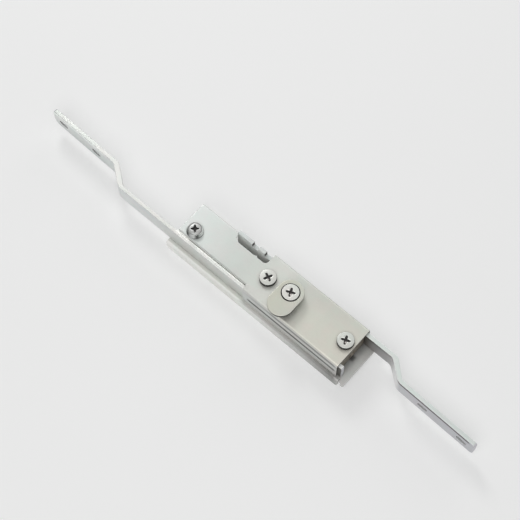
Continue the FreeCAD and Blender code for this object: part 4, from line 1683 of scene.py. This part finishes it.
@dataclass
class Lever:
    """The lever plate on its hub.

    Recess is its radius and depth, square the side of the hole through both, and hub the hub's radius and foot.
    """

    radius: float = 9.5
    reach: float = 10.0
    bottom: float = 32.9
    top: float = 35.55
    edge: float = 0.5
    foot_cut: float = 0.2
    recess: Point = (6.7, 1.45)
    recess_cut: float = 0.15
    square: float = 7.0
    hub: Point = (8.0, 28.5)
    hub_cut: float = 0.3
    # The side is painted: shade along its lower right side, reflected light elsewhere.
    painted_streaks: tuple[Point, ...] = ((0.0, 0.9), (0.22, 0.9), (0.31, 0.17), (0.57, 0.15), (0.66, 0.7), (1.0, 0.9))

    def build(self, shop: Workshop) -> None:
        """Build the plate and its hub.

        Args:
            shop: where the finished pieces go.
        """
        side = Turned("lever_side_painted_light_and_shade", (0.42, 0.425, 0.36), roughness=0.45, wear_and_highlight=0.25,
                      centre=(AXIS[0], AXIS[1] - self.reach), painted_streaks=self.painted_streaks)
        shop.fit(self.plate_mesh(), "lever_blade", Body.DRIVE, "lever_steel", "lever_plate", LEVER_STEEL, POCKET, side)
        steel = Turned("hub_steel", (0.50, 0.50, 0.47), centre=AXIS)
        shop.fit(self.hub_mesh(), "lever_boss", Body.DRIVE, "turned_steel", "lever_hub", steel)

    def plate_mesh(self) -> bmesh.types.BMesh:
        """Skin the obround plate with its rounded top edge, round recess and square hole.

        Returns:
            Its mesh.
        """
        hole, cut = square(self.square), self.foot_cut
        rows = [Level(hole, even(self.bottom), HeadSkin.SIDE),
                Level(pill(self.radius - cut, self.reach), even(self.bottom), HeadSkin.SIDE),
                Level(pill(self.radius, self.reach), even(self.bottom + cut), HeadSkin.SIDE)]
        for step, t in enumerate(quarter()):
            rim = pill(self.radius - self.edge * (1 - math.cos(t)), self.reach)
            height = even(self.top - self.edge * (1 - math.sin(t)))
            rows.append(Level(rim, height, HeadSkin.TOP if step else HeadSkin.SIDE))
        (wide, deep), soft = self.recess, self.recess_cut
        rows += [disc(wide + soft, self.top), disc(wide, self.top - soft, HeadSkin.RECESS_SHADE),
                 disc(wide, self.top - deep, HeadSkin.RECESS_SHADE), Level(hole, even(self.top - deep), HeadSkin.RECESS_SHADE)]
        return Skinned(rows, True, upright(*AXIS), around(144)).mesh()

    def hub_mesh(self) -> bmesh.types.BMesh:
        """Skin the round hub with its square hole.

        Returns:
            Its mesh.
        """
        (wide, low), high, cut, hole = self.hub, self.bottom, self.hub_cut, square(self.square)
        rows = [Level(hole, even(low)), disc(wide - cut, low), disc(wide, low + cut), disc(wide, high - cut),
                disc(wide - cut, high), Level(hole, even(high))]
        return Skinned(rows, True, upright(*AXIS)).mesh()


@dataclass
class Blocks:
    """The two guide blocks between the rods.

    Spans are their ends along X, and pocket is the radius, height over the floor and depth of the pocket in the right
    face.
    """

    half: float = 12.9
    floor: float = BASE_TOP
    top: float = 26.2
    spans: tuple[Point, Point] = ((5.4, 16.9), (74.3, 88.3))
    pocket: Place = (3.0, 5.0, 3.2)
    pocket_cut: float = 0.3
    cut: float = 0.5

    def build(self, shop: Workshop) -> None:
        """Build both blocks.

        Args:
            shop: where the finished pieces go.
        """
        for side, span in zip(("left", "right"), self.spans):
            node = f"{side}_guide_block"
            shop.fit(self.block(span), f"{side}_block", Body.CASE, "block_iron", node, BLOCK_IRON)

    def block(self, span: Point) -> bmesh.types.BMesh:
        """Skin a block with chamfered edges and a round pocket in its right face.

        Args:
            span: its ends along X.

        Returns:
            Its mesh.
        """
        (radius, up, deep), (left, right), cut, soft = self.pocket, span, self.cut, self.pocket_cut
        middle = self.floor + up
        low, high = self.floor - middle, self.top - middle
        full = oblong(-self.half, self.half, low, high)
        small = oblong(-self.half + cut, self.half - cut, low + cut, high - cut)
        corners = [math.degrees(math.atan2(z, y)) % 360 for y in (-self.half, self.half) for z in (low, high)]
        rows = [Level(small, even(left)), Level(full, even(left + cut)), Level(full, even(right - cut)),
                Level(small, even(right)), disc(radius + soft, right), disc(radius, right - soft),
                disc(radius, right - deep)]
        along_x = Matrix(((0, 0, 1, 0), (1, 0, 0, 0), (0, 1, 0, middle), (0, 0, 0, 1)))
        return Skinned(rows, place=along_x, angles=sorted({*around(60), *corners})).mesh()


@dataclass
class Hidden:
    """The pieces of the drive and the bearings that stay as packed, each finish with its nodes."""

    dressed: tuple[tuple[Finish, tuple[str, ...]], ...] = (
        (Turned("turned_zinc", (0.52, 0.52, 0.50), centre=AXIS),
         ("thrust_washer", "drive_shaft", "left_block_rivets", "right_block_rivets", "tongue_post")),
        (Turned("oiled_bronze", (0.50, 0.36, 0.20), metallic=0.85, roughness=0.36, centre=AXIS),
         ("lower_bush", "upper_bush")),
        (Turned("black_spring", (0.10, 0.10, 0.11), metallic=0.6, roughness=0.4, centre=AXIS), ("retaining_ring",)),
        (Turned("oiled_wheel", (0.36, 0.36, 0.35), centre=AXIS), ("pinion",)))

    def build(self, shop: Workshop) -> None:
        """Give each carried-over node its finish."""
        for finish, node in ((finish, node) for finish, nodes in self.dressed for node in nodes):
            shop.dress(node, finish)


@dataclass(frozen=True)
class Lamp:
    """A large round soft lamp: its power in watts, its width in metres, and where it stands, seen from the object."""

    name: str
    watts: float
    size: float
    direction: Place


@dataclass
class Studio:
    """Plain pale floor, soft light and the camera.

    Target and distance are in millimetres, floor_gap too, and lamp_distance is in metres. Lift is how much the floor
    glows by itself for the viewer, and world_white how bright the surroundings look, with less light than that.
    """

    azimuth: float = 41.38
    elevation: float = 66.98
    distance: float = 952.0
    target: Place = (7.09, 0.0, 27.4)
    sensor_mm: float = 36.0
    focal_px: float = 1390.0
    frame_px: float = 520.0
    shift_px: Point = (-1.94, 13.88)
    floor_half: float = 3000.0
    floor_gap: float = 0.02
    floor_tone: Colour = (0.94, 0.945, 0.94)
    floor_shade: float = 0.985
    floor_roughness: float = 0.9
    floor_lift: float = 0.35
    world_light: float = 0.28
    world_white: float = 0.96
    lamp_distance: float = 1.3
    lamps: tuple[Lamp, ...] = (
        Lamp("key", 4.0, 0.42, (-0.62, 0.38, 0.68)),
        Lamp("fill", 5.6, 0.9, (0.26, -0.46, 0.85)),
        Lamp("rim", 2.0, 0.8, (-0.12, 0.88, 0.44)))

    def build(self) -> None:
        """Build the studio."""
        bpy.context.scene.view_settings.view_transform = "Standard"
        self.floor()
        self.world()
        for lamp in self.lamps:
            self.light(lamp)
        self.camera()

    def floor(self) -> None:
        """Large pale floor just under the rims."""
        made = bmesh.new()
        half, level = self.floor_half * MM, -self.floor_gap * MM
        corners = ((-half, -half), (half, -half), (half, half), (-half, half))
        made.faces.new([made.verts.new((x, y, level)) for x, y in corners])
        mesh = bpy.data.meshes.new("floor")
        made.to_mesh(mesh)
        made.free()
        mesh.materials.append(self.floor_paint())
        floor = bpy.data.objects.new("floor", mesh)
        bpy.context.scene.collection.objects.link(floor)

    def floor_paint(self) -> bpy.types.Material:
        """Matt paint that glows a little by itself for the viewer, so that shadows stay light.

        Returns:
            The material.
        """
        material = bpy.data.materials.new("floor_paint")
        material.use_nodes = True
        graph = Graph(material.node_tree)
        shade = tuple(c * self.floor_shade for c in self.floor_tone)
        tone = graph.mix(graph.noise(graph.point(), Pattern.PAINT), self.floor_tone, shade)
        matt = {"Base Color": tone, "Roughness": self.floor_roughness}
        paint = graph.out(graph.node("ShaderNodeBsdfPrincipled", None, matt))
        white = graph.out(graph.node("ShaderNodeEmission", None, {"Strength": 1.0}))
        lift = graph.seen_rays() * self.floor_lift
        lit = graph.out(graph.node("ShaderNodeMixShader", None, {0: lift, 1: paint, 2: white}))
        graph.node("ShaderNodeOutputMaterial", None, {"Surface": lit})
        return material

    def world(self) -> None:
        """Even light, seen as near white by the camera and in gloss."""
        world = bpy.data.worlds.new("studio")
        world.use_nodes = True
        bpy.context.scene.world = world
        graph = Graph(world.node_tree)
        strength = graph.seen_rays() * (self.world_white - self.world_light) + self.world_light
        made = graph.node("ShaderNodeBackground", None, {0: (1.0, 1.0, 1.0, 1.0), 1: strength})
        graph.node("ShaderNodeOutputWorld", None, {0: graph.out(made)})

    def light(self, lamp: Lamp) -> None:
        """Add a lamp that faces the object.

        Args:
            lamp: the lamp.
        """
        data = bpy.data.lights.new(lamp.name, "AREA")
        data.shape = "DISK"
        data.size = lamp.size
        data.energy = lamp.watts
        made = bpy.data.objects.new(lamp.name, data)
        toward = Vector(lamp.direction).normalized()
        made.location = toward * self.lamp_distance
        made.rotation_euler = toward.to_track_quat("Z", "Y").to_euler()
        bpy.context.scene.collection.objects.link(made)

    def camera(self) -> None:
        """Camera at the photograph's angle and distance."""
        data = bpy.data.cameras.new("camera")
        data.sensor_width = self.sensor_mm
        data.lens = self.focal_px / self.frame_px * self.sensor_mm
        data.shift_x, data.shift_y = (shift / self.frame_px for shift in self.shift_px)
        data.clip_end = 100.0
        camera = bpy.data.objects.new("camera", data)
        a, e = math.radians(self.azimuth), math.radians(self.elevation)
        back = Vector((math.sin(a) * math.cos(e), -math.cos(a) * math.cos(e), math.sin(e)))
        camera.location = (Vector(self.target) + back * self.distance) * MM
        camera.rotation_euler = (-back).to_track_quat("-Z", "Y").to_euler()
        bpy.context.scene.collection.objects.link(camera)
        bpy.context.scene.camera = camera


def toward_tip(x: float, kink: Point) -> Point:
    """Place on the straight part of a rod that leans from its kink toward its tip."""
    return (x, kink[1] - (x - kink[0]) * TIP_SLOPE)


def rods() -> list[Rod]:
    """Both rods with their own joggles and notches.

    Returns:
        The left rod and the right rod.
    """
    pitch, shift = 2 * math.pi * ROD_Y / TEETH, ROD_Y * MESH_TURN
    left_kink, right_kink = (-131.0, -2.9), (126.2, 3.8)
    left = [toward_tip(-ROD_TIP, left_kink), toward_tip(-129.3, left_kink), (-113.9, -ROD_Y), (92.2, -ROD_Y)]
    right = [(-27.1, ROD_Y), (112.6, ROD_Y), right_kink, toward_tip(ROD_TIP, right_kink)]
    return [
        Rod(Body.LEFT_ROD, left, notches=[AXIS[0] - shift + n * pitch for n in range(-1, 5)], slots=(-182.2, -148.6),
            tip_cuts=(2.4, 5.5), face=LEFT_FACE, front_edge=LEFT_EDGE, swell=(1.1, 0.9)),
        Rod(Body.RIGHT_ROD, right, notches=[AXIS[0] + shift + n * pitch for n in range(-4, 2)], slots=(147.8, 181.4),
            tip_cuts=(2.4, 2.4), face=RIGHT_FACE, front_edge=RIGHT_EDGE, swell=(1.0, 0.3), rack_shown=36.0),
    ]


def screws() -> list[Screw]:
    """The four screws.

    Returns:
        Both pan heads, the lever's screw and the tongue's.
    """
    pan = Screw("left_pan_screw", Body.CASE, "screw_steel", "left_cover_screw", (PAN_SCREW_X[0], 0.0), seat=COVER_TOP,
                radius=6.1, height=3.2, rise=0.3, edge=0.45, turn=65.0)
    return [
        pan,
        replace(pan, name="right_pan_screw", node="right_cover_screw", centre=(PAN_SCREW_X[1], 0.0), turn=24.0),
        Screw("lever_flat_screw", Body.DRIVE, "screw_steel", "lever_screw", AXIS, seat=34.1, radius=6.05, height=2.0,
              rise=0.1, edge=0.2, turn=25.0, shank=(2.0, 23.1), tone=(0.62, 0.625, 0.59)),
        CollarScrew("tongue_dome_screw", Body.CASE, "bright_screw", "tongue_screw", TONGUE_POST, seat=COVER_TOP,
                    radius=6.1, height=4.4, rise=0.55, edge=0.1, turn=41.5, tone=(0.42, 0.425, 0.415), span=5.9,
                    root=2.9, tip=1.3, depth=1.9, painted_glint_offset=0.3, painted_glint_gain=1.0),
    ]


def main() -> None:
    """Build every sub-assembly in order. The workshop reports each piece."""
    logging.basicConfig(level=logging.INFO, format="%(name)s: %(message)s")
    shop = Workshop()
    BasePlate().build(shop)
    Cover().build(shop)
    for rod in rods():
        rod.build(shop)
    Blocks().build(shop)
    Lever().build(shop)
    for screw in screws():
        screw.build(shop)
    Hidden().build(shop)
    Studio().build()


if __name__ == "__main__":
    main()
